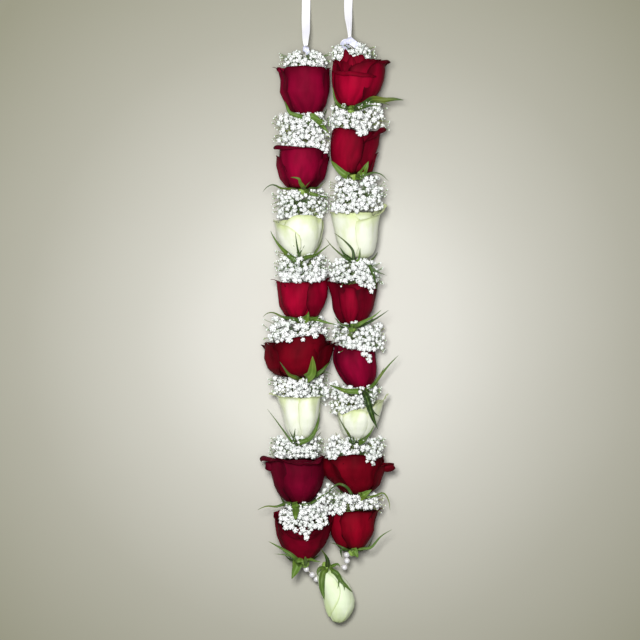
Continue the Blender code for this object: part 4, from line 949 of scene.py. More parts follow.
def waves(rng, angle, along, size):
    """A smooth random amount per place round and along a spray, about +-size."""
    total = 0.0
    for f in (1, 2, 3, 5):
        total = total + rng.uniform(0.4, 1.0) / f**0.5 * np.sin(f * angle + rng.uniform(0, 6.28) + along * rng.uniform(-0.25, 0.25))
    return size * total / 1.6


def make_cluster(side, i):
    x0, x1, y0, y1, size = CLUSTERS[side][i]
    below = heads[f"{side}_{i + 1}"]
    above = heads.get(f"{side}_{i}")
    rng = np.random.default_rng((1 if side == "left" else 2) * 100 + i)
    cx, half = (x0 + x1) / 2, (x1 - x0) / 2
    zc = min(25.0, below.z) if not below.pitch else 25.0
    tall = min(half * 0.92, 27.0)
    depth = y1 - y0
    count = 14000
    p = np.stack([rng.uniform(x0 - 3, x1 + 3, count), rng.uniform(y0 - 3, y1 + 4, count), zc + rng.uniform(-tall, tall + 2, count)], -1)
    angle = np.arctan2(p[:, 0] - cx, p[:, 2] - zc)
    q = np.hypot((p[:, 0] - cx) / (half - size * 0.7), (p[:, 2] - zc) / (tall - size * 0.7))
    e = (p[:, 1] - y0) / depth
    limit = np.interp(e, [-0.1, 0.1, 0.35, 0.8, 1.1], [0.80, 0.95, 1.0, 1.0, 0.95]) + waves(rng, angle, p[:, 1], 0.055)
    keep = (q < limit) & (q > 0.45) & (p[:, 2] > size + 0.1)
    keep &= (p[:, 1] > y0 + waves(rng, angle, 0 * p[:, 1], 1.6)) & (p[:, 1] < y1 + 2.0)
    line = parting(p[:, 1])
    keep &= (p[:, 0] < line - 1.4) if side == "left" else (p[:, 0] > line + 1.4)
    if above is not None:
        keep &= outside(above, p, size * 0.80)
        s, r, _ = above.local(p)
        keep &= s < np.interp(r, [0, 10, 20, 30], [-8, 2.0, 3.5, 7.0]) + waves(rng, angle, 0 * s, 1.5)
    else:
        # The topmost spray is a dome that closes round the knot.
        (kx, ky), kz = KNOT[side]
        top = np.interp(np.hypot(p[:, 0] - kx, (p[:, 2] - kz) * 0.9), [0, 4, 12, 24], [ky + 4.5, ky + 1.5, ky + 3.6, y1 - 8])
        keep &= p[:, 1] > top
        keep &= np.linalg.norm(p - np.array([kx, ky, kz]), axis=1) > 6.2
    droop = np.clip(waves(rng, angle, 0 * angle, 3.0) + 0.4, 0.0, 4.0)
    keep &= above_rim(below, p, size, droop) & outside(below, p, size * 0.55)
    if below.pitch:  # these fill the open mouth of a head that leans to the viewer
        p = np.stack([rng.uniform(x0 - 1, x1 + 1, count), rng.uniform(y0 - 1, y1 + 6, count), rng.uniform(size, 60.5, count)], -1)
        s, r, theta = below.local(p)
        share = r / below.radius(below.S)
        surface = below.S + below.cut(theta) * np.clip(share, 0, 1)
        keep = (share < 0.99) & (s > surface - 0.5) & (s < surface + 9.5 + 6 * (share < 0.6)) & outside(above, p, size * 0.8)
        line = parting(p[:, 1])
        keep &= p[:, 0] < line - 1.4
    p = p[keep]
    if above is None:  # the knot's loops stay in sight
        (kx, ky), kz = KNOT[side]
        p = p[(np.hypot((p[:, 0] - kx + 2.5 * (side == "right")) / (9.5 if side == "right" else 5.5), (p[:, 1] - ky - 2) / 8.0) > 1) | (p[:, 2] < kz - 3)]
    hung = []
    for hang_x, lowest, wide in HANGS.get(f"{side}_{i + 1}", []):
        hp = np.stack([hang_x + rng.uniform(-wide, wide, 1500), rng.uniform(lowest - 9, lowest, 1500), rng.uniform(zc + 6, zc + tall + 9, 1500)], -1)
        hs, hr, htheta = below.local(hp)
        edge = below.radius(np.clip(hs, 0, below.S))
        keep = (hr > 0.86 * edge) & (hr < edge + 1.7 * size)
        keep &= hp[:, 1] < lowest - 0.6 * size - 6.0 * (np.abs(hp[:, 0] - hang_x) / wide) ** 2 + 1.0
        hung.append(hp[keep])
    for ax, ay, az, ar in ASTRAY.get(f"{side}_{i + 1}", []):
        lot = np.array([ax, ay, az]) + unit(rng.normal(0, 1, (160, 3))) * ar * rng.uniform(0.2, 1.0, (160, 1)) * np.array([1, 1, 0.7])
        line = parting(lot[:, 1])
        hung.append(lot[(lot[:, 0] < line - 1.6) if side == "left" else (lot[:, 0] > line + 1.6)] if side + str(i) != "right7" else lot)
    hang_count = sum(len(x) for x in hung)
    p = np.concatenate([*hung, p])
    clear = clear_of_petals(p, 0.58 * size)
    if above is not None:
        clear &= outside(above, p, 0.7 * size)
    if f"{side}_{i + 1}" in HIP_SEEN:
        hx, hy, rx, ry = HIP_SEEN[f"{side}_{i + 1}"]
        clear &= (np.hypot((p[:, 0] - hx) / rx, (p[:, 1] - hy) / ry) > 1) | (p[:, 2] < (above.z if above else MOST_Z))
    hang_count = int(clear[:hang_count].sum())
    p = p[clear]
    # Florets come in little clumps, with their stalks showing between.
    clump = []
    for c in p[:4000]:
        if all(np.sum((d - c) ** 2) > (2.75 * size) ** 2 for d in clump):
            clump.append(c)
    clump = np.array(clump)
    near = np.sqrt(np.min(np.sum((p[:, None] - clump[None]) ** 2, axis=2), axis=1))
    loose = rng.uniform(0, 1, len(p)) < np.interp(near, [0, 1.35 * size, 1.8 * size], [1.0, 1.0, 0.10])
    loose[:hang_count] = True
    p = p[loose]
    order = np.argsort(-(p[:, 2] > zc - 4).astype(float) + 0.001 * np.arange(len(p)) / max(1, len(p)), kind="stable")
    p = p[order]
    gap2 = (1.52 * size) ** 2
    chosen = np.empty((170, 3))
    n = 0
    for k in range(len(p)):
        if n == 0 or np.min(np.sum((chosen[:n] - p[k]) ** 2, axis=1)) > gap2:
            chosen[n] = p[k]
            n += 1
        if n >= 150:
            break
    chosen = chosen[:n]
    # Smaller, hidden florets deeper in the spray.
    fill = p[np.hypot((p[:, 0] - cx) / half, (p[:, 2] - zc) / tall) < 0.80][:2600]
    deep = []
    for k in range(len(fill)):
        near = np.min(np.sum((chosen - fill[k]) ** 2, axis=1))
        if near > (1.02 * size) ** 2 and all(np.sum((d - fill[k]) ** 2) > (1.1 * size) ** 2 for d in deep):
            deep.append(fill[k])
        if len(deep) >= 12:
            break
    b = Build()
    centre = np.array([cx, (y0 + y1) / 2, zc])
    # These hidden florets get low tones, greyer: painted shade deep in the spray.
    for c in deep:
        ball, faces = closed_ball(0.86 * size, 1.0, rng)
        b.add(c + ball, tris=faces, uv=np.full((12, 2), 0.5), tone=rng.uniform(0.35, 0.8), slot=0)
    stalk_foot = lambda: centre + np.array([rng.uniform(-0.28, 0.28) * half, rng.uniform(0.0, 0.35) * depth, rng.uniform(-0.28, 0.28) * tall])
    for c in chosen:
        out = c - centre
        out[1] *= 0.45
        out = out / (np.linalg.norm(out) + 1e-6) + rng.normal(0, 0.32, 3) + np.array([0, -0.2, 0.25])
        out /= np.linalg.norm(out)
        r = size * rng.choice([0.66, 0.86, 1.0, 1.1, 1.22])
        turned = turn_to(out, rng.uniform(0, 6.28))
        shapes = FLORETS if c[2] > zc - 7 else UNDER_FLORETS
        pts, tris, uv = shapes[int(rng.integers(len(shapes)))]
        b.add(c + (pts * r) @ turned.T, tris=tris, uv=uv, tone=rng.uniform(0.6, 1.0), slot=0)
        cp, cq, ct = CUP
        b.add(c + (cp * r) @ turned.T, cq, ct, tone=rng.uniform(0.3, 0.9), slot=1)
        if c[2] > zc - 8:  # the floret's own stalk, down to one of the spray's branches near the middle
            foot = stalk_foot()
            under = c - out * r * 0.55
            bend = (under * 0.55 + foot * 0.45) - out * 1.2 + rng.normal(0, 0.6, 3)
            tp, tq, tt, tuv = tube([under, bend, foot], [0.2, 0.28, 0.4], 4)
            tp[:, 2] = np.maximum(tp[:, 2], 0.2)
            b.add(tp, tq, tt, uv=tuv, tone=rng.uniform(0.2, 0.8), slot=1)
    low, high = parting(centre[1]) - 0.8, parting(centre[1]) + 0.8
    for k in range(30):  # twigs that end in unopened florets at the spray's outside
        a = rng.uniform(-2.0, 2.0) if k % 3 else rng.choice([-1.5, 1.5]) + rng.uniform(-0.25, 0.25)
        rr = rng.uniform(0.98, 1.12)
        root = centre + np.array([0.3 * half * math.sin(a), rng.uniform(-0.25, 0.25) * depth, 0.3 * tall * math.cos(a)])
        tip = centre + np.array([rr * half * math.sin(a), rng.uniform(-0.46, 0.42) * depth, rr * (tall - 0.5) * math.cos(a)])
        tip[0] = min(tip[0], low - 1.2) if side == "left" else max(tip[0], high + 1.2)
        tip[2] = max(tip[2], 2.0)
        if (above is not None and not outside(above, tip[None], 1.5)[0]) or not outside(below, tip[None], 1.8)[0] or not clear_of_petals(tip[None], 2.2)[0]:
            continue
        mid = (root + tip) / 2 + rng.normal(0, 1.2, 3)
        path = smooth_path([root, mid, tip], 6)
        tp, tq, tt, tuv = tube(path, [0.42, 0.38, 0.32, 0.26, 0.22, 0.2], 4)
        tp[:, 2] = np.maximum(tp[:, 2], 0.2)
        b.add(tp, tq, tt, uv=tuv, tone=rng.uniform(0.0, 0.6), slot=1)
        turned = turn_to(unit((path[-1] - path[-2])[None])[0], rng.uniform(0, 6))
        r = rng.uniform(1.5, 2.3)
        for slot, (bp, bq, bt) in enumerate(SMALL_BUD):
            pts = tip + (bp * r) @ turned.T
            pts[:, 2] = np.maximum(pts[:, 2], 0.2)
            b.add(pts, bq, bt, uv=np.full((len(bp), 2), 0.55), tone=rng.uniform(0.4, 0.9), slot=slot)
    return b, n


def tree_of(builds):
    points, faces, offset = [], [], 0
    for b in builds:
        pts, group = b.arrays()
        points.append(pts)
        faces += (np.array([f[:3] for f in group]) + offset).tolist()
        faces += [[f[0] + offset, f[2] + offset, f[3] + offset] for f in group if len(f) == 4]
        offset += len(pts)
    return BVHTree.FromPolygons(np.concatenate(points).tolist(), faces, all_triangles=True)


petals_tree = tree_of(bloom_builds.values())


def clear_of_petals(p, gap):
    w = world(p)
    return np.array([petals_tree.find_nearest(Vector(q), gap * MM)[0] is None for q in w.tolist()], bool) if len(p) else np.zeros(0, bool)


cluster_builds = {}
for side in CLUSTERS:
    for i in range(8):
        cluster_builds[f"{side}_{i + 1}"], n = make_cluster(side, i)

# ---------------------------------------------------------------- what sepals lie over
ground = tree_of([*bloom_builds.values(), *cluster_builds.values()])


def drape(x, y, default=None):
    """The highest surface over a sheet place, in mm."""
    w = world([(x, y, 120.0)])[0]
    hit = ground.ray_cast(Vector(w), Vector((0, 0, -1)), 0.2)
    return default if hit[0] is None else hit[0].z / MM


# ---------------------------------------------------------------- hips and sepals
# Each sepal: its places from root to tip with a height (N lies on the flowers), width, tone,
# and its side barbs as (share along, tip place). Low ones, which the flowers hide, have a height.
SEPALS = {
    "left_1": [
        ([(298, 116.5, N), (290, 113.5, N), (286.8, 107, N), (284.6, 101, N)], 5.4, 0.75, []),
        ([(312.6, 117, N), (318, 121.5, N), (324, 128, N), (329, 133.3, N)], 6.4, 0.85, [(0.45, (326, 122.5))]),
        ([(300, 120, 15), (290, 119, 8), (284, 114, 4)], 4.0, 0.5, []),
        ([(314, 119, 14), (322, 116, 8), (327, 108, 5)], 4.0, 0.5, []),
    ],
    "left_2": [
        ([(303.5, 188, N), (300.2, 183, N), (299.2, 179.6, N), (295.4, 178.2, N), (291, 177.8, N)], 4.6, 0.65, []),
        ([(294, 189, N), (282.5, 188.6, N), (276, 185.6, N), (271.5, 184.8, N), (266.6, 187.4, N), (262.7, 192, N)], 2.6, 0.35, []),
        ([(306, 186.5, N), (310.5, 181.6, N)], 1.6, 0.4, []),
        ([(311, 188.5, N), (318, 187.6, N), (326, 180.6, N)], 2.4, 0.35, []),
        ([(307, 192, N), (312.7, 194.6, N), (321, 196.4, N), (330.0, 197.7, N)], 4.2, 0.6, []),
        ([(303, 189.5, 14), (303, 187, 7), (303, 181, 3.0)], 4.0, 0.5, []),
    ],
    "left_3": [
        ([(299, 255, N), (297.6, 249, N), (296.4, 241, N), (295.4, 232.8, N)], 3.2, 0.35, [(0.32, (293.2, 245.2)), (0.30, (304.8, 245.4))]),
        ([(293, 258.8, N), (285, 251.6, N), (278.6, 244.6, N), (275.2, 239.6, N), (272.2, 234.6, N), (270.7, 231, N)], 5.6, 0.6, []),
        ([(307, 257.4, N), (315.7, 255.2, N), (323, 249.6, N), (330.5, 243.8, N)], 4.6, 0.5, [(0.62, (323.4, 236.2))]),
        ([(300, 259.5, 12), (299, 257, 7), (298, 250, 3)], 4.0, 0.5, []),
    ],
    "left_4": [
        ([(305.6, 319.4, N), (307.6, 316, N), (308.6, 311.8, N)], 8.0, 0.85, []),
        ([(296, 319.6, N), (283, 317, N), (276, 313.6, N), (271.4, 312.4, N), (266.6, 313.6, N), (263, 317, N)], 3.8, 0.45, []),
        ([(311, 319, N), (316, 319.2, N), (327, 322.6, N), (336.8, 324.7, N)], 5.0, 0.75, [(0.4, (321, 315.6))]),
        ([(302, 321, 13), (302, 319, 7), (302, 313, 3)], 4.0, 0.5, []),
    ],
    "left_5": [
        ([(306, 378.4, N), (311.4, 374, N), (312.6, 366, N), (312.6, 356, N)], 9.6, 0.9, []),
        ([(297, 377.6, N), (290, 375, N), (285, 368.6, N), (280, 361.5, N)], 4.4, 0.3, []),
        ([(312.6, 377, N), (321.7, 370.7, N), (327, 365, N), (331, 361.2, N)], 5.0, 0.4, []),
        ([(311, 378.6, N), (320, 374, N), (325, 371.8, N), (332.5, 374.5, N)], 2.2, 0.4, []),
        ([(296, 380, 13), (289, 378, 7), (284, 373, 4)], 4.0, 0.5, []),
    ],
    "left_6": [
        ([(294.6, 440, N), (294.2, 435, N), (295.2, 428.6, N)], 4.4, 0.25, [(0.3, (288.8, 428.8))]),
        ([(301, 441.6, N), (307.6, 439.4, N), (313, 434.4, N), (317.4, 424, N), (319.6, 412.6, N)], 5.4, 0.6, [(0.5, (320.6, 426.4))]),
        ([(291, 440, N), (282.6, 429, N), (275, 418.6, N), (267.3, 408.7, N)], 2.6, 0.5, []),
        ([(305, 442.5, 16), (314, 440, 10), (321, 433, 7)], 4.0, 0.5, []),
        ([(296, 442.5, 12), (294, 440, 7), (292, 433, 3)], 4.0, 0.5, []),
    ],
    "left_7": [
        ([(296, 503.6, N), (295.8, 508, N), (295.8, 513, N), (295.6, 518.8, N)], 8.6, 0.95, []),
        ([(291, 503.4, N), (285.6, 503.2, N), (277, 506.4, N), (267.8, 506, N), (262, 507.6, N), (257.8, 509.8, N)], 4.0, 0.5, []),
        ([(303, 504, N), (311, 503, N), (321, 496.6, N), (331.5, 490, N), (335, 491, N)], 3.2, 0.5, []),
        ([(305, 506, 15), (311, 504, 9), (316, 498, 6)], 4.0, 0.5, []),
        ([(290, 506, 15), (284, 503.5, 9), (280, 497, 6)], 4.0, 0.5, []),
    ],
    "left_8": [
        ([(299.4, 556.4, N), (298.2, 561.4, 35), (296.6, 567.4, 34), (294.4, 572.6, 33), (291.8, 578.6, 32)], 12.4, 0.95, [(0.35, (304.2, 564.6))]),
        ([(295, 557, N), (289, 552.3, N), (279, 546.2, N), (268.8, 540.8, N)], 4.6, 0.6, [(0.45, (274.6, 553))]),
        ([(306, 558.6, N), (309.6, 558.4, N), (315, 560.4, 36), (321, 561.6, 37)], 4.8, 0.65, []),
        ([(308, 561.5, 18), (313, 560.0, 12), (319, 556.5, 9)], 4.0, 0.5, []),
        ([(297, 561.5, 16), (290, 560.5, 9), (285, 557, 5)], 4.0, 0.5, []),
    ],
    "right_1": [
        ([(360, 107.6, N), (366, 104.6, N), (372.6, 100.0, N), (384, 100.4, N), (394, 99.4, N), (403.4, 100.2, N)], 7.4, 0.30, [(0.42, (381.6, 106.6)), (0.60, (390.4, 105.8))]),
        ([(347.4, 107.6, N), (340, 106.4, N), (335, 99.6, N), (332.4, 86.8, N)], 4.6, 0.6, []),
        ([(351, 107.0, N), (352, 110.4, N)], 8.0, 0.95, []),
        ([(343, 109, 14), (337, 108, 8), (334.5, 101, 5)], 4.0, 0.5, []),
        ([(362, 109, 15), (369, 107, 9), (373, 101, 5)], 4.0, 0.5, []),
    ],
    "right_2": [
        ([(348, 176.6, N), (343, 173.6, N), (336.6, 167.6, N), (330.6, 160.4, N)], 7.4, 0.95, []),
        ([(358.6, 176.6, N), (362.6, 173.6, N), (365.6, 168, N), (368.4, 161.8, N)], 8.2, 0.95, []),
        ([(362, 177.0, N), (372, 173, N), (381, 174.6, N), (388.6, 181.6, N)], 2.4, 0.4, []),
        ([(347, 177, 14), (342, 175, 8), (339, 168, 5)], 4.0, 0.5, []),
        ([(359, 177, 14), (364, 174, 8), (367, 168, 5)], 4.0, 0.5, []),
    ],
    "right_3": [
        ([(353.4, 259, N), (352.4, 250, N), (344, 240.6, N), (334.2, 233, N)], 3.0, 0.2, []),
        ([(350.4, 260.2, N), (345, 255, N), (339.4, 246.8, N)], 5.4, 0.3, []),
        ([(358.6, 259.4, N), (360, 248.4, N)], 3.2, 0.8, []),
        ([(348, 260, N), (341.4, 255.2, N), (332, 246.6, N), (325.4, 238.2, N)], 2.4, 0.35, []),
        ([(362, 260.5, 34), (368.6, 265, 40), (373.4, 276, 40), (376.8, 289.5, 34.5)], 5.4, 0.35, [(0.55, (386.5, 275.6))]),
        ([(363, 262, 17), (372, 259, 10), (378, 252, 7)], 4.0, 0.5, []),
        ([(350, 262, 13), (346, 260, 7), (343, 253, 4)], 4.0, 0.5, []),
    ],
    "right_4": [
        ([(358, 324.6, N), (366, 320.4, N), (374, 316, N), (381, 310, N)], 4.4, 0.8, []),
        ([(360, 326, N), (371, 321.4, N), (380, 316, N), (388.4, 310.2, N)], 3.6, 0.3, []),
        ([(352.4, 325, N), (350.4, 330.4, N)], 5.4, 0.7, []),
        ([(347, 325.6, N), (340.4, 323.8, N), (334.4, 317.6, N)], 3.0, 0.4, []),
        ([(361, 327, 15), (368, 324, 9), (373, 318, 5)], 4.0, 0.5, []),
        ([(345, 327.5, 14), (340, 325, 8), (336.5, 319, 5)], 4.0, 0.5, []),
    ],
    "right_5": [
        ([(365, 389.6, N), (373.6, 384.6, N), (382, 373.6, N), (390, 364, N), (398.4, 355.4, N)], 3.6, 0.55, [(0.42, (384.4, 367.0))]),
        ([(356, 391, N), (346, 390.6, N), (337, 387.6, N), (329, 384.6, N)], 6.2, 0.7, []),
        ([(362.6, 391, N), (366.4, 397, N), (369.4, 407, N), (373, 418, N), (377.6, 428.6, N)], 6.6, 0.2, [(0.36, (362.6, 409.4)), (0.22, (377, 400.2)), (0.62, (379.6, 416.4))]),
        ([(366, 391.4, 17), (374, 389, 11), (379, 383, 7)], 4.0, 0.5, []),
        ([(352, 391.8, 13), (347, 390, 7), (343, 384, 4)], 4.0, 0.5, []),
    ],
    "right_6": [
        ([(361, 441, N), (366.4, 437, N), (371, 431.6, N), (373.6, 425.6, N)], 6.0, 0.65, []),
        ([(350.6, 441, N), (348.6, 434, N), (343, 425, N), (338.2, 415.8, N)], 3.6, 0.2, []),
        ([(354, 441.6, N), (352.6, 435.6, N)], 5.0, 0.25, []),
        ([(347, 443, 18), (340.5, 440.5, 11), (335.5, 433, 8)], 4.0, 0.5, []),
        ([(359, 443.2, 13), (362, 441, 7), (364, 434, 4)], 4.0, 0.5, []),
    ],
    "right_7": [
        ([(362, 495.6, N), (366, 493, N), (371.6, 489.4, N)], 8.8, 0.9, []),
        ([(352, 494.6, N), (346.6, 486.6, N), (338.6, 483.4, N), (331, 488.6, N), (325.4, 495.6, N)], 3.0, 0.3, []),
        ([(365, 497, N), (375, 495.6, N), (383.3, 492.8, N), (388.6, 500.4, N), (390, 510, N)], 2.6, 0.6, []),
        ([(349, 497.5, 15), (343, 495.5, 9), (339, 488, 6)], 4.0, 0.5, []),
        ([(360, 498, 13), (365, 496, 7), (369, 489.5, 4)], 4.0, 0.5, []),
    ],
    "right_8": [
        ([(354, 550, 34), (356, 553.6, 35), (358.0, 557.4, 34)], 7.0, 0.9, []),
        ([(358, 549.4, N), (364, 548.6, N), (371.4, 547.2, N), (380.8, 536.6, N), (392, 529.4, N)], 2.8, 0.6, []),
        ([(348, 549.4, N), (341.6, 549.2, 33), (341, 553.4, 32), (342.4, 558, 31)], 3.2, 0.25, []),
        ([(345, 548.4, N), (335.4, 544, N), (329.7, 542.6, N)], 2.0, 0.35, []),
        ([(361, 551, 16), (368, 548.5, 9), (372, 542, 6)], 4.0, 0.5, []),
        ([(346, 551, 14), (340, 548.5, 8), (336, 542, 6)], 4.0, 0.5, []),
    ],
    "bud": [
        ([(326, 570, N), (322.6, 574, N), (321.8, 586, N), (324.2, 599.6, N)], 6.6, 0.6, []),
        ([(331.6, 570.4, N), (336.6, 573.6, N), (341, 580.4, N), (346.4, 586, N), (352.4, 592.4, N)], 5.6, 0.55, [(0.45, (337.6, 588.4)), (0.62, (344.2, 590.4))]),
        ([(327.6, 566, 25), (327.6, 560, 34), (325, 554, 38), (321.4, 549, 41)], 5.2, 0.2, []),
        ([(325, 568.6, 22), (320, 568.4, 25), (317.4, 572.4, 25), (318.6, 576.6, 25)], 4.0, 0.5, []),
        ([(332.4, 566.6, 20), (337.4, 564.4, 22), (340.4, 567.2, 22)], 3.6, 0.65, []),
    ],
}


def hip_rings(h):
    """The green hip under a flower, with the needle's hole through it."""
    b = Build()
    sides = 28
    k = 2 * np.pi * np.arange(sides) / sides
    lobes = 1 + 0.03 * np.cos(5 * k + 1.0)
    profile = [(0.6, 3.6), (0.25, 4.7), (-0.8, 5.1), (-2.2, 5.15), (-3.8, 4.8), (-5.2, 4.1), (-6.4, 3.2), (-7.0, 2.4), (-7.15, 1.6), (-6.9, 1.0), (-3.0, 0.85), (0.4, 0.9)]
    rings = []
    for s, r in profile:
        s, rr = np.full(sides, s), r * (lobes if r > 2 else 1.0) * np.ones(sides)
        rings.append(h.place(s, rr, k))
    rings = np.array(rings)
    n = len(profile)
    index = np.arange(n * sides).reshape(n, sides)
    right, down = np.roll(index, -1, axis=1), np.roll(index, -1, axis=0)
    both = np.roll(right, -1, axis=0)
    quads = np.stack([index, down, both, right], -1).reshape(-1, 4)
    if h.down > 0:
        quads = quads[:, ::-1]
    uv = np.stack(np.broadcast_arrays((k / (2 * np.pi))[None, :], np.linspace(0, 1, n)[:, None]), -1)
    b.add(rings.reshape(-1, 3), quads, uv=uv.reshape(-1, 2), tone=0.7, slot=1)
    return b


def make_calyx(name):
    h = heads[name]
    b = hip_rings(h)
    for j, (path, width, tone, barbs) in enumerate(SEPALS[name]):
        pts = []
        draped = any(z is None for _, _, z in path)
        for k, (x, y, z) in enumerate(path):
            if z is None:
                z = drape(x, y)
                if z is None:
                    z = pts[-1][2] - 1.0 if pts else h.z + 6
                z += 0.9
                z = max(z, h.z + 5.5 - 0.45 * max(0.0, math.hypot(x - float(h.middle(np.array(-2.0))), y - h.base_y) - 7))
            pts.append([x, y, z])
        first = pts[0]
        # The root sits on the hip, under the petals.
        s0 = -1.2 if not h.pitch else -1.6
        hx, hy = float(h.middle(np.array(s0))), h.base_y + h.down * s0
        away = np.array([first[0] - hx, max(-30.0, min(30.0, (first[2] - h.z)))])
        if draped:
            away[1] = max(away[1], 7.0)
        away = away / (np.linalg.norm(away) + 1e-9)
        root = [hx + 4.5 * away[0], hy, h.z + 4.5 * away[1]]
        if h.pitch:
            root[1] += 3.0
        full = [root] + pts
        line = smooth_path(full, 22)
        lift = {("left_7", 0): 2.6, ("right_5", 2): 1.6, ("left_3", 2): 1.0}.get((name, j), 0.0)
        if draped:
            for q in range(3, len(line)):
                step = line[min(q + 1, len(line) - 1)] - line[q - 1]
                step = np.array([-step[1], step[0]]) / (np.hypot(step[0], step[1]) + 1e-9) * 0.32 * width
                for offset in (-1, 0, 1):
                    over = drape(line[q, 0] + offset * step[0], line[q, 1] + offset * step[1])
                    if over is not None and path[-1][2] is None:
                        line[q, 2] = max(line[q, 2], over + lift + (1.1 if width > 5 else 0.7) - 0.3 * abs(offset))
            z = line[:, 2].copy()
            for _ in range(2):
                z[1:-1] = np.maximum(z[1:-1], 0.5 * (z[:-2] + z[2:]) - 0.2)
            line[:, 2] = z
        face = None if draped else (away[0], 0.15, away[1])
        if name == "bud" and not draped:
            face = (0, 0.1, 1)
        line[:, 2] = np.maximum(line[:, 2], 1.6)
        leaf_strip(b, line, width, 0, tone, face=face, count=22, curl=14 * math.sin(j * 2.1 + len(name)), profile="broad" if width >= 6.4 else "leaf", fold=0.30)
        for share, (bx, by) in barbs:
            i = int(share * (len(line) - 1))
            a = line[i]
            bz = drape(bx, by)
            bz = a[2] if bz is None else max(bz + 0.9, a[2] - 3)
            back = line[max(0, i - 2)]
            leaf_strip(b, [back, a * 0.6 + np.array([bx, by, bz]) * 0.4, (bx, by, bz)], max(1.5, width * 0.34), 0, tone, count=9)
    return b


calyx_builds = {name: make_calyx(name) for name in SEPALS}

# ---------------------------------------------------------------- thread and pearls
HIP_END = 7.0


def on_axis(h, s):
    return h.place(np.array([float(s)]), np.array([0.0]), np.array([0.0]))[0]


def axis_route(side):
    (kx, ky), kz = KNOT[side]
    route = [np.array([kx, ky + 3.4, kz])]
    for i in range(8):
        h = heads[f"{side}_{i + 1}"]
        for s in (h.S + 0.5, h.S * 0.5, 0.5, -HIP_END):
            route.append(on_axis(h, s))
    return route


PEARLS = {
    "left": [(306.4, 569.6, 22.5), (312.2, 575.4, 19.5), (316.4, 580.2, 13.5)],
    "right": [(346.6, 555.0, 26.0), (347.0, 561.0, 24.0), (344.4, 568.0, 19.0)],
}
PEARL_R = 2.95


def make_thread():
    hip = on_axis(bud, -4.2)
    middle = PEARLS["left"] + [(hip[0] - 7.5, hip[1] + 0.6, hip[2] - 0.5), tuple(hip), (hip[0] + 7.5, hip[1] - 0.4, hip[2] + 1.0)] + PEARLS["right"][::-1]
    key = axis_route("left") + [np.array(p, float) for p in middle] + axis_route("right")[::-1]
    path = smooth_path(key, 520)
    pts, quads, tris, uv = tube(path, 0.38, 8)
    b = Build()
    b.add(pts, quads, tris, uv=uv)
    return b.make("stringing_thread_cotton", [cotton])


def make_pearl(side, j):
    row = [on_axis(heads[f"{side}_8"], -HIP_END)] + [np.array(p, float) for p in PEARLS[side]] + [on_axis(bud, -4.2)]
    c = row[j + 1]
    d = unit(row[j + 2] - row[j + 1]) + unit(row[j + 1] - row[j])
    d = d / np.linalg.norm(d)
    m = turn_to(d, 0.3)
    low = math.asin(0.55 / PEARL_R)
    f = np.linspace(low, math.pi - low, 21)
    sides = 36
    k = 2 * np.pi * np.arange(sides) / sides
    rings = [np.stack([PEARL_R * math.sin(q) * np.cos(k), PEARL_R * math.sin(q) * np.sin(k), np.full(sides, PEARL_R * math.cos(q))], -1) for q in f]
    pts = np.array(rings).reshape(-1, 3) @ m.T + c
    n = len(f)
    index = np.arange(n * sides).reshape(n, sides)
    right, down = np.roll(index, -1, axis=1), np.roll(index, -1, axis=0)
    both = np.roll(right, -1, axis=0)
    quads = np.stack([index, down, both, right], -1).reshape(-1, 4)
    b = Build()
    b.add(pts, quads)
    return b.make(f"pearl_bead_{side}_{j + 1}", [pearl_white])


# ---------------------------------------------------------------- make the pieces
def put(obj, node):
    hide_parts(node)
    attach(obj, "root")


for name, b in bloom_builds.items():
    if name == "bud":
        put(b.make("pendant_bud_petals", [bud_petal]), "pendant_bud_bloom")
    else:
        red = heads[name].colour == "red"
        put(b.make(f"rose_{name}_petals", [red_petals[HEADS[name].get("tint", "plain")] if red else white_petal]), f"rose_{name}_bloom")
for name, b in cluster_builds.items():
    put(b.make(f"babys_breath_{name}_spray", [floret_white, stem_green]), f"babys_breath_{name}")
for name, b in calyx_builds.items():
    piece = "pendant_bud" if name == "bud" else f"rose_{name}"
    put(b.make(f"{piece}_sepals", [sepal_green, hip_green]), f"{piece}_calyx")
put(make_thread(), "stringing_thread")
for side in PEARLS:
    for j in range(3):
        put(make_pearl(side, j), f"pearl_{side}_{j + 1}")

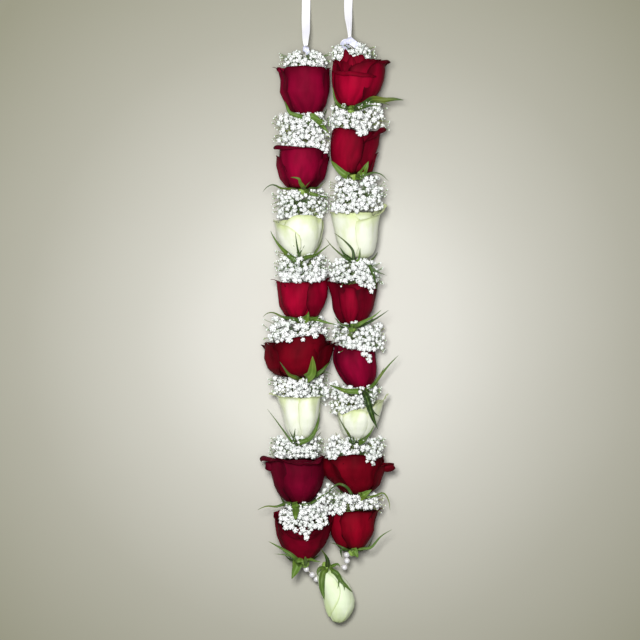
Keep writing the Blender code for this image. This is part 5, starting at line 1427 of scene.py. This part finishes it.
# ---------------------------------------------------------------- floor and light
floor_mesh = bpy.data.meshes.new("floor")
floor_mesh.from_pydata([(-3, -3, 0), (3, -3, 0), (3, 3, 0), (-3, 3, 0)], [], [(0, 1, 2, 3)])
floor = bpy.data.objects.new("floor", floor_mesh)
floor.location.z = -0.0002
bpy.context.scene.collection.objects.link(floor)
m = Nodes("floor")
place = m.node("ShaderNodeTexCoord").outputs["Object"]
px, py, _ = m.split(place)
# Painted pool of light: the floor is palest in the middle, darkens with distance to about 0.46 m and pales a little
# again farther out.
away = m.math("POWER", m.math("ADD", m.math("POWER", px, 2.0), m.math("POWER", py, 2.0)), 0.5)
light_pool = m.math("ADD", away, m.math("MULTIPLY", m.math("SUBTRACT", m.noise(place, 6.0, 2.0), 0.5), 0.02))
m.colour(m.ramp(light_pool, (0.0, (0.58, 0.575, 0.535)), (0.12, (0.52, 0.515, 0.475)), (0.19, (0.43, 0.425, 0.38)), (0.31, (0.315, 0.31, 0.26)), (0.46, (0.225, 0.222, 0.165)), (0.66, (0.28, 0.277, 0.225)), (1.0, (0.40, 0.395, 0.345))))
m.set(Roughness=0.9, Specular_IOR_Level=0.1)
floor_mesh.materials.append(m.material)


def light(name, kind, place, target, energy, size, colour=(1, 1, 1), **more):
    data = bpy.data.lights.new(name, kind)
    data.energy, data.color = energy, colour
    if kind == "AREA":
        data.shape, data.size = "DISK", size
    else:
        data.shadow_soft_size = size
    for k, v in more.items():
        setattr(data, k, v)
    obj = bpy.data.objects.new(name, data)
    obj.location = place
    obj.rotation_euler = (Vector(target) - Vector(place)).to_track_quat("-Z", "Y").to_euler()
    bpy.context.scene.collection.objects.link(obj)
    return obj


light("key", "AREA", (-0.20, 0.30, 2.1), (0, 0, 0), 52.0, 0.55, (1.0, 0.99, 0.97))
light("front", "AREA", (0.12, -0.10, 2.6), (0.0, 0.0, 0), 15.0, 0.8, (1.0, 0.995, 0.985))
sky = bpy.data.worlds.new("studio")
sky.use_nodes = True
sky.node_tree.nodes["Background"].inputs["Color"].default_value = (0.93, 0.95, 1.0, 1)
sky.node_tree.nodes["Background"].inputs["Strength"].default_value = 0.17
bpy.context.scene.world = sky
bpy.context.scene.view_settings.view_transform = "Standard"
